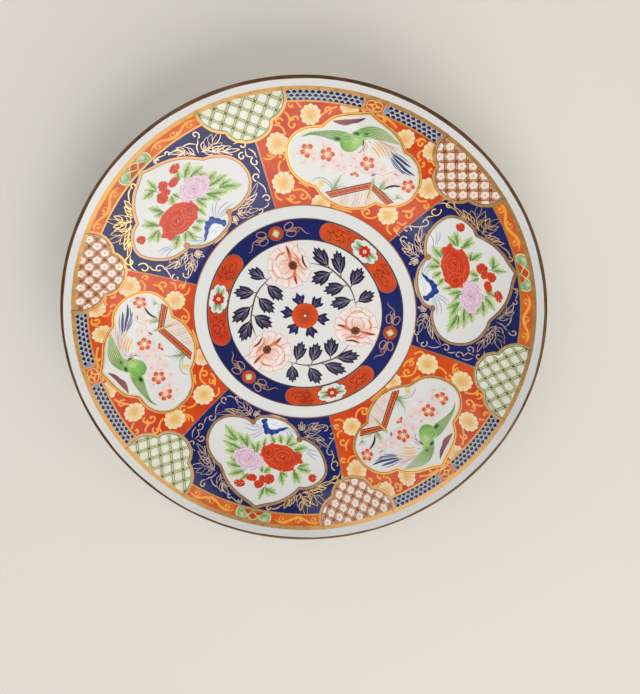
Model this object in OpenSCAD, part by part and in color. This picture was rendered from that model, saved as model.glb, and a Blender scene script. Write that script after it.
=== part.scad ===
// Display plate of glazed porcelain, coupe shaped, with fired-on colours and gilding.
// The plate lies on its foot ring: +Z is up, the origin is the centre of the foot
// ring's resting circle, and +Y is the side the central stems point away from.
// Every colour is its own thin film, laid on the glaze where the pattern puts it.

/* [Body] */
// Outside diameter over the rim
plate_d = 260; // [240:1:280]
// Height of the glazed well's centre above the resting plane
well_z = 9; // [8.5:0.1:12]
// How far the face climbs from the centre to the rim
face_rise = 32; // [24:1:34]
// How late the face turns upward (higher is a flatter well)
face_power = 3.6; // [2.8:0.1:4.4]
// Porcelain thickness at the centre
wall_centre = 4.5; // [4:0.1:5]
// Porcelain thickness at the lip
wall_lip = 2.4; // [2:0.1:3]
// Glaze thickness
glaze_t = 0.25; // [0.15:0.05:0.4]

/* [Foot ring] */
// Outer diameter of the foot ring where it rests
foot_d = 150; // [140:1:156]
// Width of the foot ring where it rests
foot_w = 3.4; // [3:0.1:5]
// Height of the bare, unglazed band at the foot
bare_h = 0.8; // [0.5:0.1:1.2]

/* [Decoration] */
// Thickness of one film of colour or gold
film = 0.15; // [0.1:0.01:0.2]
// Turn of the whole pattern about the plate's axis, degrees
pattern_turn = 13.6; // [0:0.1:119]
// Radius of the outer gold line's middle
gilt_line_r = 125.2; // [124.6:0.1:125.6]
// Inner radius of the large panels
panel_in_r = 63.5; // [62.5:0.5:64.5]
// Outer radius of the large panels
panel_out_r = 117.5; // [117:0.1:117.7]
// Outer radius of the inner ring
ring_out_r = 56; // [55:0.5:57]
// Inner radius of the inner ring
ring_in_r = 44.3; // [43.5:0.1:45]

/* [Hidden] */
$fn = 96;
R = plate_d / 2;
lip_r = wall_lip / 2;
face_end = R - 2.0;
eps = 0.01;

// ---- section of the plate -------------------------------------------------
function tt(r) = max(0, min(1, (r - 7.8) / (130 - 7.8)));
function zf(r) = well_z + face_rise * pow(tt(r), face_power);
function slope(r) = atan2(zf(r + 0.05) - zf(r - 0.05), 0.1);
function wall(r) = wall_centre + (wall_lip - wall_centre) * pow(r / R, 1.6)
                 + 0.7 * exp(-pow((r - foot_d / 2) / 14, 2));
// a point on the face, d millimetres above it along the normal
function face_pt(r, d) = [r - d * sin(slope(r)), zf(r) + d * cos(slope(r))];
// a point on the underside, d millimetres into the wall
function under_pt(r, d) = face_pt(r, -wall(r) + d);
face_rs = concat([0.02, 8, 16, 26, 36, 44, 52], [for (r = [58 : 4 : 122]) r], [124.5, 126.5, face_end]);
lip_a = slope(face_end);
lip_c = face_pt(face_end, -lip_r);
function lip_pt(a, d) = lip_c + (lip_r - d) * [cos(a), sin(a)];
lip_as = [for (i = [0 : 12]) 90 + lip_a - i * 15];
foot_o = foot_d / 2;
foot_i = foot_o - foot_w;
under_out_rs = [126, 122, 117, 112, 107, 102, 97, 92, 87, 83, 80];
under_in_rs = [foot_i - 6, 60, 50, 40, 30, 20, 10, 0.02];
// outside run: well centre, face, lip, underside, outer wall of the foot
function outer_run(d) = concat(
    [for (r = face_rs) face_pt(r, -d)],
    [for (a = lip_as) lip_pt(a, d)],
    [for (r = under_out_rs) under_pt(r, d)],
    [[foot_o + 3.2 - 0.7 * d, 5.9 + 0.7 * d + 0.4], [foot_o + 1.7 - d, 4.2], [foot_o + 0.6 - d, bare_h]]);
// inside run: inner wall of the foot, then the recess below the well
function inner_run(d) = concat(
    [[foot_i - 0.7 + d, bare_h], [foot_i - 1.7 + d, 3.6], [foot_i - 3.4 + 0.7 * d, 5.6 + 0.7 * d]],
    [for (r = under_in_rs) under_pt(r, d)]);
function rev(v) = [for (i = [len(v) - 1 : -1 : 0]) v[i]];

module porcelain_body() {
    color("ivory")
    rotate_extrude()
        polygon(concat(
            [[0, zf(0) - glaze_t]], [for (p = outer_run(glaze_t)) if (p[0] > 1) p],
            [[foot_o + 0.25 - glaze_t, 0.25], [foot_o - 0.5, 0],
             [foot_i + 0.5, 0], [foot_i - 0.25 + glaze_t, 0.25]],
            [for (p = inner_run(glaze_t)) if (p[0] > 1) p],
            [[0, under_pt(0.02, glaze_t)[1]]]));
}

module glaze_coat() {
    color([0.93, 0.94, 0.93])
    rotate_extrude() {
        polygon(concat([[0, zf(0)]], [for (p = outer_run(0)) if (p[0] > 1) p],
                       rev([for (p = outer_run(glaze_t)) if (p[0] > 1) p]), [[0, zf(0) - glaze_t]]));
        polygon(concat([for (p = inner_run(0)) if (p[0] > 1) p], [[0, under_pt(0.02, 0)[1]]],
                       [[0, under_pt(0.02, glaze_t)[1]]], rev([for (p = inner_run(glaze_t)) if (p[0] > 1) p])));
    }
}

// ---- films on the face ----------------------------------------------------
// a ring of film between radii a and b, on level lv (0 lies on the glaze)
module film_ring(a, b, lv = 0) {
    n = max(1, ceil((b - a) / 5));
    rs = [for (i = [0 : n]) a + (b - a) * i / n];
    rotate_extrude()
        polygon(concat([for (r = rs) face_pt(r, lv * film + 0.002)],
                       rev([for (r = rs) face_pt(r, (lv + 1) * film)])));
}
// film wherever the flat children are, seen straight down
module laid(a, b, lv = 0) {
    intersection() {
        film_ring(a, b, lv);
        translate([0, 0, 1]) linear_extrude(50) children();
    }
}
// the pattern repeats three times; children are drawn with +Y pointing outward
module thrice(turn = 0) for (k = [0 : 2]) rotate(pattern_turn + turn + 120 * k - 90) children();

// ---- outlines --------------------------------------------------------------
function bez(p, q, r, s, t) = p * pow(1 - t, 3) + 3 * q * pow(1 - t, 2) * t + 3 * r * (1 - t) * t * t + s * pow(t, 3);
// a smooth run through a list of points, without its last point
function run(P, n = 3) = [for (i = [0 : len(P) - 2], j = [0 : n - 1])
    let (a = P[max(0, i - 1)], b = P[i], c = P[i + 1], d = P[min(len(P) - 1, i + 2)])
    bez(b, b + (c - a) / 6, c - (d - b) / 6, c, j / n)];
function joined(L, n = 2) = [for (l = L) each run(l, n)];
function unit(v) = v / max(1e-6, norm(v));
// moves a closed outline outward by d; the outline runs clockwise
function grow(P, d) = [for (i = [0 : len(P) - 1])
    let (a = P[(i + len(P) - 1) % len(P)], c = P[(i + 1) % len(P)], t = unit(c - a))
    P[i] + d * [-t[1], t[0]]];
function polar(r, a) = r * [sin(a), cos(a)];
function wedge(a0, a1, r0 = 10, r1 = 150) = concat(
    [for (i = [0 : 6]) polar(r1, a0 + (a1 - a0) * i / 6)], [for (i = [6 : -1 : 0]) polar(r0, a0 + (a1 - a0) * i / 6)]);
function oval(c, a, b, turn = 0, n = 24) = [for (i = [0 : n - 1])
    let (u = a * cos(-360 * i / n), v = b * sin(-360 * i / n)) c + [u * cos(turn) - v * sin(turn), u * sin(turn) + v * cos(turn)]];
// a scalloped flower with k petals
function scallop(c, r, k, depth = 0.16, turn = 0, n = 4) = [for (i = [0 : k * n - 1])
    let (u = 360 * i / (k * n), w = r * (1 - depth + depth * abs(sin(k * u / 2 ))))
    c + w * [sin(u + turn), cos(u + turn)]];
// a leaf from p to q, w wide at its middle
function leaf(p, q, w) = let (d = q - p, m = [-d[1], d[0]] / max(0.01, norm(d)) * w / 2)
    [p, p + d * 0.22 + m * 0.72, p + d * 0.5 + m, p + d * 0.78 + m * 0.6, q,
     p + d * 0.78 - m * 0.6, p + d * 0.5 - m, p + d * 0.22 - m * 0.72];
// a line of even width through points
module stroke(P, w) {
    Q = concat(run(P, 3), [P[len(P) - 1]]);
    N = [for (i = [0 : len(Q) - 1]) let (t = unit(Q[min(len(Q) - 1, i + 1)] - Q[max(0, i - 1)])) [-t[1], t[0]] * w / 2];
    polygon(concat([for (i = [0 : len(Q) - 1]) Q[i] + N[i]], [for (i = [len(Q) - 1 : -1 : 0]) Q[i] - N[i]]));
}
function mir(P) = [for (i = [len(P) - 1 : -1 : 0]) [-P[i][0], P[i][1]]];

lappet_half = [[0, 101.1], [3.5, 101.4], [8.5, 103.4], [11.3, 106.3], [12.2, 108.8]];
lappet_side = [[12.2, 108.8], [16.7, 110.6], [20.2, 113.6], [22.3, 117.5], [22.6, 122.0]];
lappet = concat(run(rev(lappet_side), 2), run(rev(lappet_half), 2),
                run(mir(rev(lappet_half)), 2), run(mir(rev(lappet_side)), 2), [[-22.6, 122.0], [-22.2, 130], [22.2, 130]]);
lappet_turns = [31.2, -28.8];

peony_outline = joined([
    [[-3, 117.2], [1.5, 115.4], [7, 113.6], [13, 110.8], [18, 107], [21.5, 103], [23.5, 100.5]],
    [[23.5, 100.5], [28, 98], [33, 93], [35.5, 86], [34, 78], [29, 72.6], [22, 70.3], [15.5, 70.4], [12, 72]],
    [[12, 72], [8.5, 67.6], [4, 66], [-2, 65.5], [-8, 66.4], [-14, 69.3], [-18, 73.5]],
    [[-18, 73.5], [-23, 73.8], [-30, 76.2], [-36, 82], [-39, 89], [-36.5, 95.5], [-31, 100], [-26, 101.5]],
    [[-26, 101.5], [-23.5, 105], [-19.5, 109], [-14, 112.6], [-8.5, 114.8], [-3, 117.2]]]);
bird_outline = joined([
    [[0.5, 116.8], [5, 114.8], [10, 113], [15.5, 110.8], [20, 107.5], [23.5, 103.5]],
    [[23.5, 103.5], [29, 101.6], [34, 97], [37, 89], [35.5, 80.5], [30.5, 75.5], [24, 73.2], [18.5, 73.5]],
    [[18.5, 73.5], [14, 69.5], [8, 67], [2, 66], [-5, 67], [-11, 69.6], [-15, 72.5]],
    [[-15, 72.5], [-24, 74], [-31, 79], [-35, 88], [-33.5, 95], [-28.5, 100.2], [-20.5, 103.5]],
    [[-20.5, 103.5], [-17, 108.8], [-12, 112], [-6, 114.4], [0.5, 116.8]]]);

module panel_shape(turn_half) difference() {
    polygon(wedge(-turn_half + 0.25, turn_half - 0.25));
    for (s = lappet_turns) rotate(s) polygon(grow(lappet, 0.45));
    children();
}

// ---- rim and border --------------------------------------------------------
module rim_edge_gilding() {
    color([0.42, 0.30, 0.18])
    rotate_extrude() polygon(concat([for (a = [118 : -12 : -26]) lip_pt(a, -0.002)], [for (a = [-26 : 12 : 118]) lip_pt(a, -film)]));
}
module outer_gilt_line() { color([0.72, 0.52, 0.28]) film_ring(gilt_line_r - 0.85, gilt_line_r + 0.85); }
module inner_gilt_line() {
    color([0.72, 0.52, 0.28])
    laid(panel_out_r + 0.1, panel_out_r + 0.8) difference() {
        circle(140);
        thrice() for (s = lappet_turns) rotate(s) polygon(grow(lappet, 0.45));
    }
}
module border_film(a0, a1) laid(panel_out_r + 0.9, gilt_line_r - 0.9) difference() {
    children();
    thrice() for (s = lappet_turns) rotate(s) polygon(grow(lappet, 0.45));
}
module orange_border_segments() {
    color([0.88, 0.47, 0.16]) border_film() thrice() { polygon(wedge(-22, -6.8)); polygon(wedge(3.5, 19.5)); }
}
module green_border_medallions() {
    color([0.47, 0.66, 0.43]) border_film() thrice() polygon(wedge(-6.6, 3.3));
}
module scale_border_segments() {
    color([0.58, 0.60, 0.70]) border_film() thrice(60) { polygon(wedge(-22, -2.1)); polygon(wedge(3.1, 19.5)); }
}
module scale_border_motifs() {
    color([0.86, 0.40, 0.16]) border_film() thrice(60) polygon(wedge(-1.9, 2.9));
}
module brocade(turn) laid(100, gilt_line_r - 0.9) thrice() rotate(turn) polygon(grow(lappet, -0.45));
module green_brocade_lappets() { color([0.80, 0.82, 0.66]) brocade(lappet_turns[1]); }
module red_brocade_lappets() { color([0.80, 0.62, 0.48]) brocade(lappet_turns[0]); }
module lappet_gilt_frames() {
    color([0.70, 0.50, 0.30])
    laid(100, gilt_line_r - 0.9) thrice() for (s = lappet_turns) rotate(s) difference() {
        polygon(grow(lappet, 0.43)); polygon(grow(lappet, -0.43));
    }
}

// ---- large panels ----------------------------------------------------------
module cobalt_panels() {
    color([0.11, 0.15, 0.40])
    laid(panel_in_r, panel_out_r) thrice() panel_shape(29.4) polygon(grow(peony_outline, 0.62));
}
module iron_red_panels() {
    color([0.80, 0.24, 0.08])
    laid(panel_in_r, panel_out_r) thrice(60) panel_shape(30.6) polygon(grow(bird_outline, 0.82));
}
module panel_gilt_dividers() {
    color([0.62, 0.42, 0.30])
    laid(panel_in_r, panel_out_r) thrice() difference() {
        for (s = [-1, 1]) rotate(29.4 * s) translate([-0.3, 50]) square([0.6, 90]);
        for (s = lappet_turns) rotate(s) polygon(grow(lappet, 0.45));
    }
}
module cobalt_panel_scrollwork() {
    color([0.66, 0.52, 0.38])
    laid(panel_in_r, panel_out_r, 1) thrice() {
        for (s = [[[-40, 97], [-36, 104], [-29, 109], [-27, 104]], [[-44, 80], [-47, 86], [-43, 91], [-41, 87]],
                  [[-18, 113.5], [-22, 109.5], [-27, 106]], [[8, 115.5], [14, 114], [18, 111]],
                  [[24, 103], [29, 108], [36, 108], [38, 103]], [[41, 80], [43, 86], [39, 91], [37.8, 87]],
                  [[-36, 72], [-28, 68], [-20, 68], [-17, 71]], [[13, 68], [20, 64.5], [28, 67], [35, 73]]])
            stroke(s, 0.8);
    }
}
module red_panel_chrysanthemums() {
    color([0.94, 0.80, 0.55])
    laid(panel_in_r, panel_out_r, 1) thrice(60) panel_shape(30.4) {
        polygon(grow(bird_outline, 1.0));
        difference() {
            circle(200);
            for (f = [[-28, 107.5, 5], [36, 108, 4.6], [-40.5, 89, 5.4], [42.3, 89, 5.4], [-32, 69.5, 5.8], [27, 68.8, 5.4]])
                polygon(scallop([f[0], f[1]], f[2], 9));
        }
    }
}
module red_panel_vines() {
    color([0.96, 0.70, 0.32])
    laid(panel_in_r, panel_out_r, 1) thrice(60) difference() {
        for (s = [[[-46, 104], [-41, 101], [-36, 97], [-37, 93.5]], [[-46, 82], [-40, 80], [-37, 76]], [[-25, 66.5], [-19, 68], [-14, 65.5]],
                  [[9, 64.5], [15, 66.5], [20, 64.8]], [[34, 70], [38, 76], [40, 82]], [[30, 112], [27, 107], [30, 104]]])
            stroke(s, 1.1);
        polygon(grow(bird_outline, 1.0));
    }
}

// ---- peony reserves --------------------------------------------------------
module peony_cartouche_frames() {
    color([0.72, 0.55, 0.35])
    laid(panel_in_r, panel_out_r) thrice() difference() {
        polygon(grow(peony_outline, 0.6)); polygon(grow(peony_outline, -0.6));
    }
}
module red_peonies() {
    color([0.82, 0.22, 0.12])
    laid(panel_in_r, panel_out_r) thrice() {
        polygon(scallop([-10.5, 87], 10.2, 9, 0.18)); polygon(scallop([-5.5, 101.5], 3.6, 6, 0.2));
        polygon(scallop([1.2, 103], 3.4, 6, 0.2)); polygon(oval([10, 107.5], 3.2, 2, 20)); polygon(scallop([-32, 94], 2.6, 5, 0.2));
    }
}
module lilac_peonies() {
    color([0.84, 0.70, 0.80])
    laid(panel_in_r, panel_out_r) thrice() difference() {
        polygon(scallop([9.5, 93.5], 8.2, 8, 0.2)); polygon(scallop([-10.5, 87], 10.3, 9, 0.18));
    }
}
module peony_leaves() {
    color([0.50, 0.68, 0.34])
    laid(panel_in_r, panel_out_r) thrice() difference() {
        for (l = [[[-4, 107], [-9, 112], 3.4], [[-10, 99], [-17, 101], 4], [[-18, 95], [-27, 97.5], 4], [[-21, 91], [-30, 90], 3],
                  [[7, 101.5], [14, 104.5], 3.6], [[12, 99.5], [19, 99.5], 3.6], [[16, 90], [24, 90], 4.4], [[11, 86], [18, 82], 4.2],
                  [[19, 84], [27, 79], 4], [[2, 87], [8, 84], 3.6], [[-17, 82], [-24, 78.5], 4.2], [[-12, 78.5], [-15, 73.5], 3.6], [[-5, 80], [-2, 76.5], 3]])
            polygon(leaf(l[0], l[1], l[2]));
        polygon(scallop([-10.5, 87], 10.3, 9, 0.18)); polygon(scallop([9.5, 93.5], 8.3, 8, 0.2));
    }
}
module garden_rocks() {
    color([0.16, 0.26, 0.62])
    laid(panel_in_r, panel_out_r) thrice()
        polygon([[-10, 69.5], [-7.6, 71], [-5, 73.4], [-2, 75.8], [1.5, 76.4], [4.2, 75.4], [5.4, 72.6], [7.2, 70.8], [6, 69], [4, 68.4],
                 [3, 70.2], [1.6, 72.4], [-0.6, 73], [-2.6, 71.6], [-4.4, 69.6], [-7, 68.6]]);
}

// ---- bird reserves ---------------------------------------------------------
module bird_cartouche_frames() {
    color([0.90, 0.68, 0.33])
    laid(panel_in_r, panel_out_r) thrice(60) difference() {
        polygon(grow(bird_outline, 0.8)); polygon(grow(bird_outline, -0.8));
    }
}
bird_body = oval([-5, 99], 6.2, 5, 20);
module green_birds() {
    color([0.42, 0.70, 0.40])
    laid(panel_in_r, panel_out_r) thrice(60) {
        polygon(bird_body);
        difference() {
            union() { polygon(leaf([-6, 101], [-31, 96.5], 7.5)); polygon(leaf([-4, 101.5], [20, 106.5], 7)); }
            polygon(bird_body);
        }
    }
}
module bird_tail_feathers() {
    color([0.86, 0.66, 0.36])
    laid(panel_in_r, panel_out_r) thrice(60) {
        polygon(leaf([6, 100.5], [17, 95], 4.6)); polygon(leaf([17.5, 99.5], [34, 92.5], 4));
    }
}
module plum_blossoms() {
    color([0.80, 0.27, 0.16])
    laid(panel_in_r, panel_out_r) thrice(60)
        for (b = [[-24.5, 89.5, 3.6], [-14, 90.5, 3.6], [7.5, 92, 3.6], [31.5, 87, 3.3], [3, 83.5, 2]])
            polygon(scallop([b[0], b[1]], b[2], 5, 0.3));
}
module garden_fences() {
    color([0.76, 0.20, 0.10])
    laid(panel_in_r, panel_out_r) thrice(60)
        polygon([[-8.8, 71.4], [13, 83.8], [27, 77.2], [26, 74.4], [13.3, 80], [-6.4, 68.8]]);
}

// ---- inner ring ------------------------------------------------------------
ring_mid = (ring_in_r + ring_out_r) / 2;
ring_half = (ring_out_r - ring_in_r) / 2;
ring_turn = 34.8;
module ring_edge_lines() {
    color([0.40, 0.30, 0.28]) { film_ring(ring_in_r - 0.3, ring_in_r + 0.3); film_ring(ring_out_r - 0.3, ring_out_r + 0.3); }
}
function bar(a, s) = concat(
    [for (i = [0 : 14]) polar(ring_mid + ring_half - 0.9, -a + 2 * a * i / 14)],
    [for (i = [1 : 7]) let (c = polar(ring_mid, a), u = i * 180 / 8) c + (ring_half - 0.9) * [cos(90 - a - u), sin(90 - a - u)]],
    [for (i = [14 : -1 : 0]) polar(ring_mid - ring_half + 0.9, -a + 2 * a * i / 14)],
    [for (i = [1 : 7]) let (c = polar(ring_mid, -a), u = 180 + i * 180 / 8) c + (ring_half - 0.9) * [cos(90 + a - u), sin(90 + a - u)]]);
ring_reserve = [for (i = [0 : 47]) let (u = 360 * i / 48, k = 1 - 0.10 * abs(sin(3 * u)))
    [8.9 * k * sin(u), ring_mid + 4.7 * k * cos(u)]];
module ring_cobalt_band() {
    color([0.11, 0.15, 0.40])
    laid(ring_in_r + 0.35, ring_out_r - 0.35) difference() {
        circle(70);
        thrice(ring_turn) polygon(bar(26, 0));
    }
}
module ring_red_segments() {
    color([0.80, 0.25, 0.10])
    laid(ring_in_r + 0.35, ring_out_r - 0.35) thrice(ring_turn) difference() { polygon(bar(25.6, 0)); polygon(ring_reserve); }
}
module ring_flower_leaves() {
    color([0.45, 0.65, 0.40])
    laid(ring_in_r, ring_out_r) thrice(ring_turn) difference() {
        union() { polygon(leaf([-1, ring_mid], [-7.4, ring_mid + 0.4], 4)); polygon(leaf([1, ring_mid], [7.4, ring_mid + 0.4], 4)); }
        circle(r = 0.01);
        polygon(scallop([0, ring_mid], 2.9, 8, 0.25));
    }
}
module ring_flowers() { color([0.80, 0.20, 0.12]) laid(ring_in_r, ring_out_r) thrice(ring_turn) polygon(scallop([0, ring_mid], 2.85, 8, 0.25)); }
module ring_knots() {
    color([0.80, 0.42, 0.22])
    laid(ring_in_r + 0.4, ring_out_r - 0.4, 1) thrice(ring_turn + 60) {
        polygon(oval([0, ring_mid], 4, 3.9));
        for (s = [-1, 1]) difference() {
            polygon(oval([s * 8, ring_mid + 0.6], 4, 2.1)); polygon(oval([s * 8, ring_mid + 0.6], 3.4, 1.5)); polygon(oval([0, ring_mid], 4.1, 4));
        }
    }
}

// ---- centre medallion ------------------------------------------------------
centre_turn = 88.9;
module centre_peonies() {
    color([0.93, 0.70, 0.60])
    laid(1, ring_in_r - 0.5) thrice(centre_turn) polygon(scallop([0, 30], 12.4, 9, 0.14));
}
spray_stem = [[-10.5, -28], [-5, -29.5], [5, -30], [12, -28], [20, -23.5], [25.5, -18]];
spray_leaves = [[[-5.5, -29.9], [-1, -15], 7], [[3.5, -30.4], [7.5, -16], 7], [[15.5, -26], [15.5, -13], 7],
                [[-7.5, -29], [-8.5, -41], 7], [[2, -30.5], [8.5, -42], 7], [[10, -29.2], [24.5, -34], 7.4], [[16.5, -26.2], [33, -24], 7.4]];
module spray() for (k = [0 : 2]) rotate(120 * k) children();
module centre_stems() {
    color([0.45, 0.40, 0.26])
    laid(1, ring_in_r - 0.5) spray() difference() { stroke(spray_stem, 0.7); rotate(12.5) translate([30 * sin(90) , 0]) circle(12.6); }
}
module centre_leaf_sprays() {
    color([0.15, 0.14, 0.26])
    laid(1, ring_in_r - 0.5) spray() difference() {
        for (l = spray_leaves) polygon(leaf(l[0] + unit(l[1] - l[0]) * 0.6, l[1], l[2] * 0.85));
        stroke(spray_stem, 0.9);
    }
}
module centre_rosette() { color([0.82, 0.28, 0.08]) laid(0.5, 12) difference() { circle(7.5, $fn = 48); circle(1.4, $fn = 24); } }
module rosette_leaves() {
    color([0.13, 0.13, 0.30])
    laid(1, 20) for (k = [0 : 5]) rotate(pattern_turn + 35.6 + 60 * k - 90) difference() {
        union() { polygon(leaf([0, 7.2], [0, 14.6], 4)); polygon(leaf([0.4, 7.4], [3.6, 12.2], 2.6)); polygon(leaf([-0.4, 7.4], [-3.6, 12.2], 2.6)); }
        circle(7.9, $fn = 48);
    }
}

porcelain_body();
glaze_coat();
rim_edge_gilding();
outer_gilt_line();
inner_gilt_line();
orange_border_segments();
green_border_medallions();
scale_border_segments();
scale_border_motifs();
green_brocade_lappets();
red_brocade_lappets();
lappet_gilt_frames();
cobalt_panels();
iron_red_panels();
panel_gilt_dividers();
cobalt_panel_scrollwork();
red_panel_chrysanthemums();
red_panel_vines();
peony_cartouche_frames();
red_peonies();
lilac_peonies();
peony_leaves();
garden_rocks();
bird_cartouche_frames();
green_birds();
bird_tail_feathers();
plum_blossoms();
garden_fences();
ring_edge_lines();
ring_cobalt_band();
ring_red_segments();
ring_flower_leaves();
ring_flowers();
ring_knots();
centre_peonies();
centre_leaf_sprays();
centre_stems();
centre_rosette();
rosette_leaves();
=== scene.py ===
# Coupe porcelain plate with panelled decoration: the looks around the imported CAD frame.
import bpy
import math
import random
import numpy as np
from mathutils import Vector, Matrix
from mathutils.geometry import delaunay_2d_cdt


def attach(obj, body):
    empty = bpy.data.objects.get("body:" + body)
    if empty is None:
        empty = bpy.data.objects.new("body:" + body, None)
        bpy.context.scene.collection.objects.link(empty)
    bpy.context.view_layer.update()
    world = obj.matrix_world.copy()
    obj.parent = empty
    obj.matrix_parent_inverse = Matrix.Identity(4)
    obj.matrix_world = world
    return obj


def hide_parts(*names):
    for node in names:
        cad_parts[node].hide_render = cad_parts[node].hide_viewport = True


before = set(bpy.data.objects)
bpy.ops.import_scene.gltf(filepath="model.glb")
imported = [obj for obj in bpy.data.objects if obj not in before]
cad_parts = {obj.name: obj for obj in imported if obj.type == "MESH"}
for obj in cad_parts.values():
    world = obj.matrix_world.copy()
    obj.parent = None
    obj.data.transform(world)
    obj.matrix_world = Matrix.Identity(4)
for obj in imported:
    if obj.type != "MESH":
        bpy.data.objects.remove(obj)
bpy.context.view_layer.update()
MM = 0.001
R = 130.0
PH = 13.6                      # turn of the whole pattern
rnd = random.Random(74)


# ------------------------------------------------------------------ the face
def zf(r):
    t = np.clip((np.asarray(r, float) - 7.8) / (130 - 7.8), 0, 1)
    return 9.0 + 32.0 * t ** 3.6


def dz(r):
    return (zf(np.asarray(r) + 0.02) - zf(np.asarray(r) - 0.02)) / 0.04


def lift(xy, h):
    """points (N, 2) in plate millimetres -> (N, 3) metres, h mm above the glaze."""
    xy = np.asarray(xy, float).reshape(-1, 2)
    r = np.hypot(xy[:, 0], xy[:, 1])
    s = dz(r)
    n = np.sqrt(1 + s * s)
    u = xy / np.maximum(r, 1e-6)[:, None]
    h = np.broadcast_to(np.asarray(h, float), r.shape)
    out = np.empty((len(xy), 3))
    out[:, :2] = xy - u * (s / n * h)[:, None]
    out[:, 2] = zf(r) + h / n
    return out * MM


# ------------------------------------------------------------------ colours
def lin(c):
    c = np.asarray(c, float) / 255.0
    return np.where(c <= 0.04045, c / 12.92, ((c + 0.055) / 1.055) ** 2.4)


def hexa(c):
    return tuple(float(x) for x in lin(c))


# ------------------------------------------------------------------ 2D tools
def A(p):
    return np.asarray(p, float).reshape(-1, 2)


def run(P, n=6, closed=False):
    P = A(P)
    N = len(P)
    out = []
    rng = range(N) if closed else range(N - 1)
    for i in rng:
        if closed:
            a, b, c, d = P[(i - 1) % N], P[i], P[(i + 1) % N], P[(i + 2) % N]
        else:
            a, b, c, d = P[max(0, i - 1)], P[i], P[i + 1], P[min(N - 1, i + 2)]
        q, r_ = b + (c - a) / 6, c - (d - b) / 6
        for j in range(n):
            t = j / n
            out.append(b * (1 - t) ** 3 + 3 * q * (1 - t) ** 2 * t + 3 * r_ * (1 - t) * t * t + c * t ** 3)
    if not closed:
        out.append(P[-1])
    return np.array(out)


def joined(L, n=6):
    return np.concatenate([run(l, n)[:-1] for l in L])


def grow(P, d):
    """clockwise outline moved outward by d."""
    P = A(P)
    t = np.roll(P, -1, 0) - np.roll(P, 1, 0)
    t /= np.maximum(np.hypot(t[:, 0], t[:, 1]), 1e-9)[:, None]
    return P + d * np.stack([-t[:, 1], t[:, 0]], 1)


def turn(P, deg, about=(0, 0)):
    a = math.radians(deg)
    P = A(P) - A(about)
    return np.stack([P[:, 0] * math.cos(a) - P[:, 1] * math.sin(a), P[:, 0] * math.sin(a) + P[:, 1] * math.cos(a)], 1) + A(about)


def mir(P):
    P = A(P)[::-1].copy()
    P[:, 0] *= -1
    return P


def pol(r, a):
    """point at radius r, a degrees clockwise of +Y."""
    a = np.radians(a)
    return np.stack(np.broadcast_arrays(r * np.sin(a), r * np.cos(a)), -1).reshape(-1, 2)


def wedge(a0, a1, r0, r1, n=24):
    t = np.linspace(a0, a1, n)
    return np.concatenate([pol(r1, t), pol(r0, t[::-1])])


def oval(c, a, b, deg=0, n=28):
    t = -np.linspace(0, 2 * math.pi, n, endpoint=False)
    return turn(np.stack([a * np.cos(t), b * np.sin(t)], 1), deg) + A(c)


def scallop(c, rx, ry, k, depth=0.16, deg=0, n=8, wob=0.0, seed=0):
    g = random.Random(seed)
    amp = [1 + wob * (g.random() - 0.5) for _ in range(k)]
    t = np.arange(k * n) / n
    i = np.floor(t).astype(int)
    w = np.array([amp[j] for j in i]) * (1 - depth + depth * np.abs(np.sin(math.pi * (t - i))) ** 0.75)
    th = 2 * math.pi * t / k
    return turn(np.stack([rx * w * np.sin(th), ry * w * np.cos(th)], 1), deg) + A(c)


def resample(P, step, closed=True):
    P = A(P)
    Q = np.vstack([P, P[:1]]) if closed else P
    seg = np.hypot(*(Q[1:] - Q[:-1]).T)
    out = []
    for i in range(len(seg)):
        k = max(1, int(math.ceil(seg[i] / step)))
        for j in range(k):
            out.append(Q[i] + (Q[i + 1] - Q[i]) * j / k)
    if not closed:
        out.append(Q[-1])
    return np.array(out)


def wind(pts, poly):
    """winding number of each point in a closed polygon."""
    P = A(poly)
    Q = np.roll(P, -1, 0)
    x, y = pts[:, 0][:, None], pts[:, 1][:, None]
    up = (P[:, 1] <= y) & (Q[:, 1] > y)
    dn = (P[:, 1] > y) & (Q[:, 1] <= y)
    side = (Q[:, 0] - P[:, 0]) * (y - P[:, 1]) - (x - P[:, 0]) * (Q[:, 1] - P[:, 1])
    return (up & (side > 0)).sum(1) - (dn & (side < 0)).sum(1)


def inside(pts, poly):
    return wind(A(pts), poly) != 0


# ------------------------------------------------------------------ building
class Film:
    """one applied colour: many thin closed solids in one mesh."""

    def __init__(self, name):
        self.name, self.v, self.f, self.c, self.n, self.k = name, [], [], [], 0, 0

    def put(self, v3, faces, cols):
        self.v.append(v3)
        self.f.extend([tuple(i + self.n for i in f) for f in faces])
        self.c.append(cols)
        self.n += len(v3)


FILMS = {}


def film(name):
    if name not in FILMS:
        FILMS[name] = Film(name)
    return FILMS[name]


def colours(col, xy):
    c = col(xy) if callable(col) else np.broadcast_to(np.asarray(col, float), (len(xy), 3))
    return np.asarray(c, float)


def copies(deg, rep):
    """the rotations to draw, in degrees, for a local +Y that points at angle deg."""
    return [deg - 90 + 120 * k for k in range(3)] if rep == 3 else [deg - 90 + 360 * k / rep for k in range(rep)]


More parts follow.
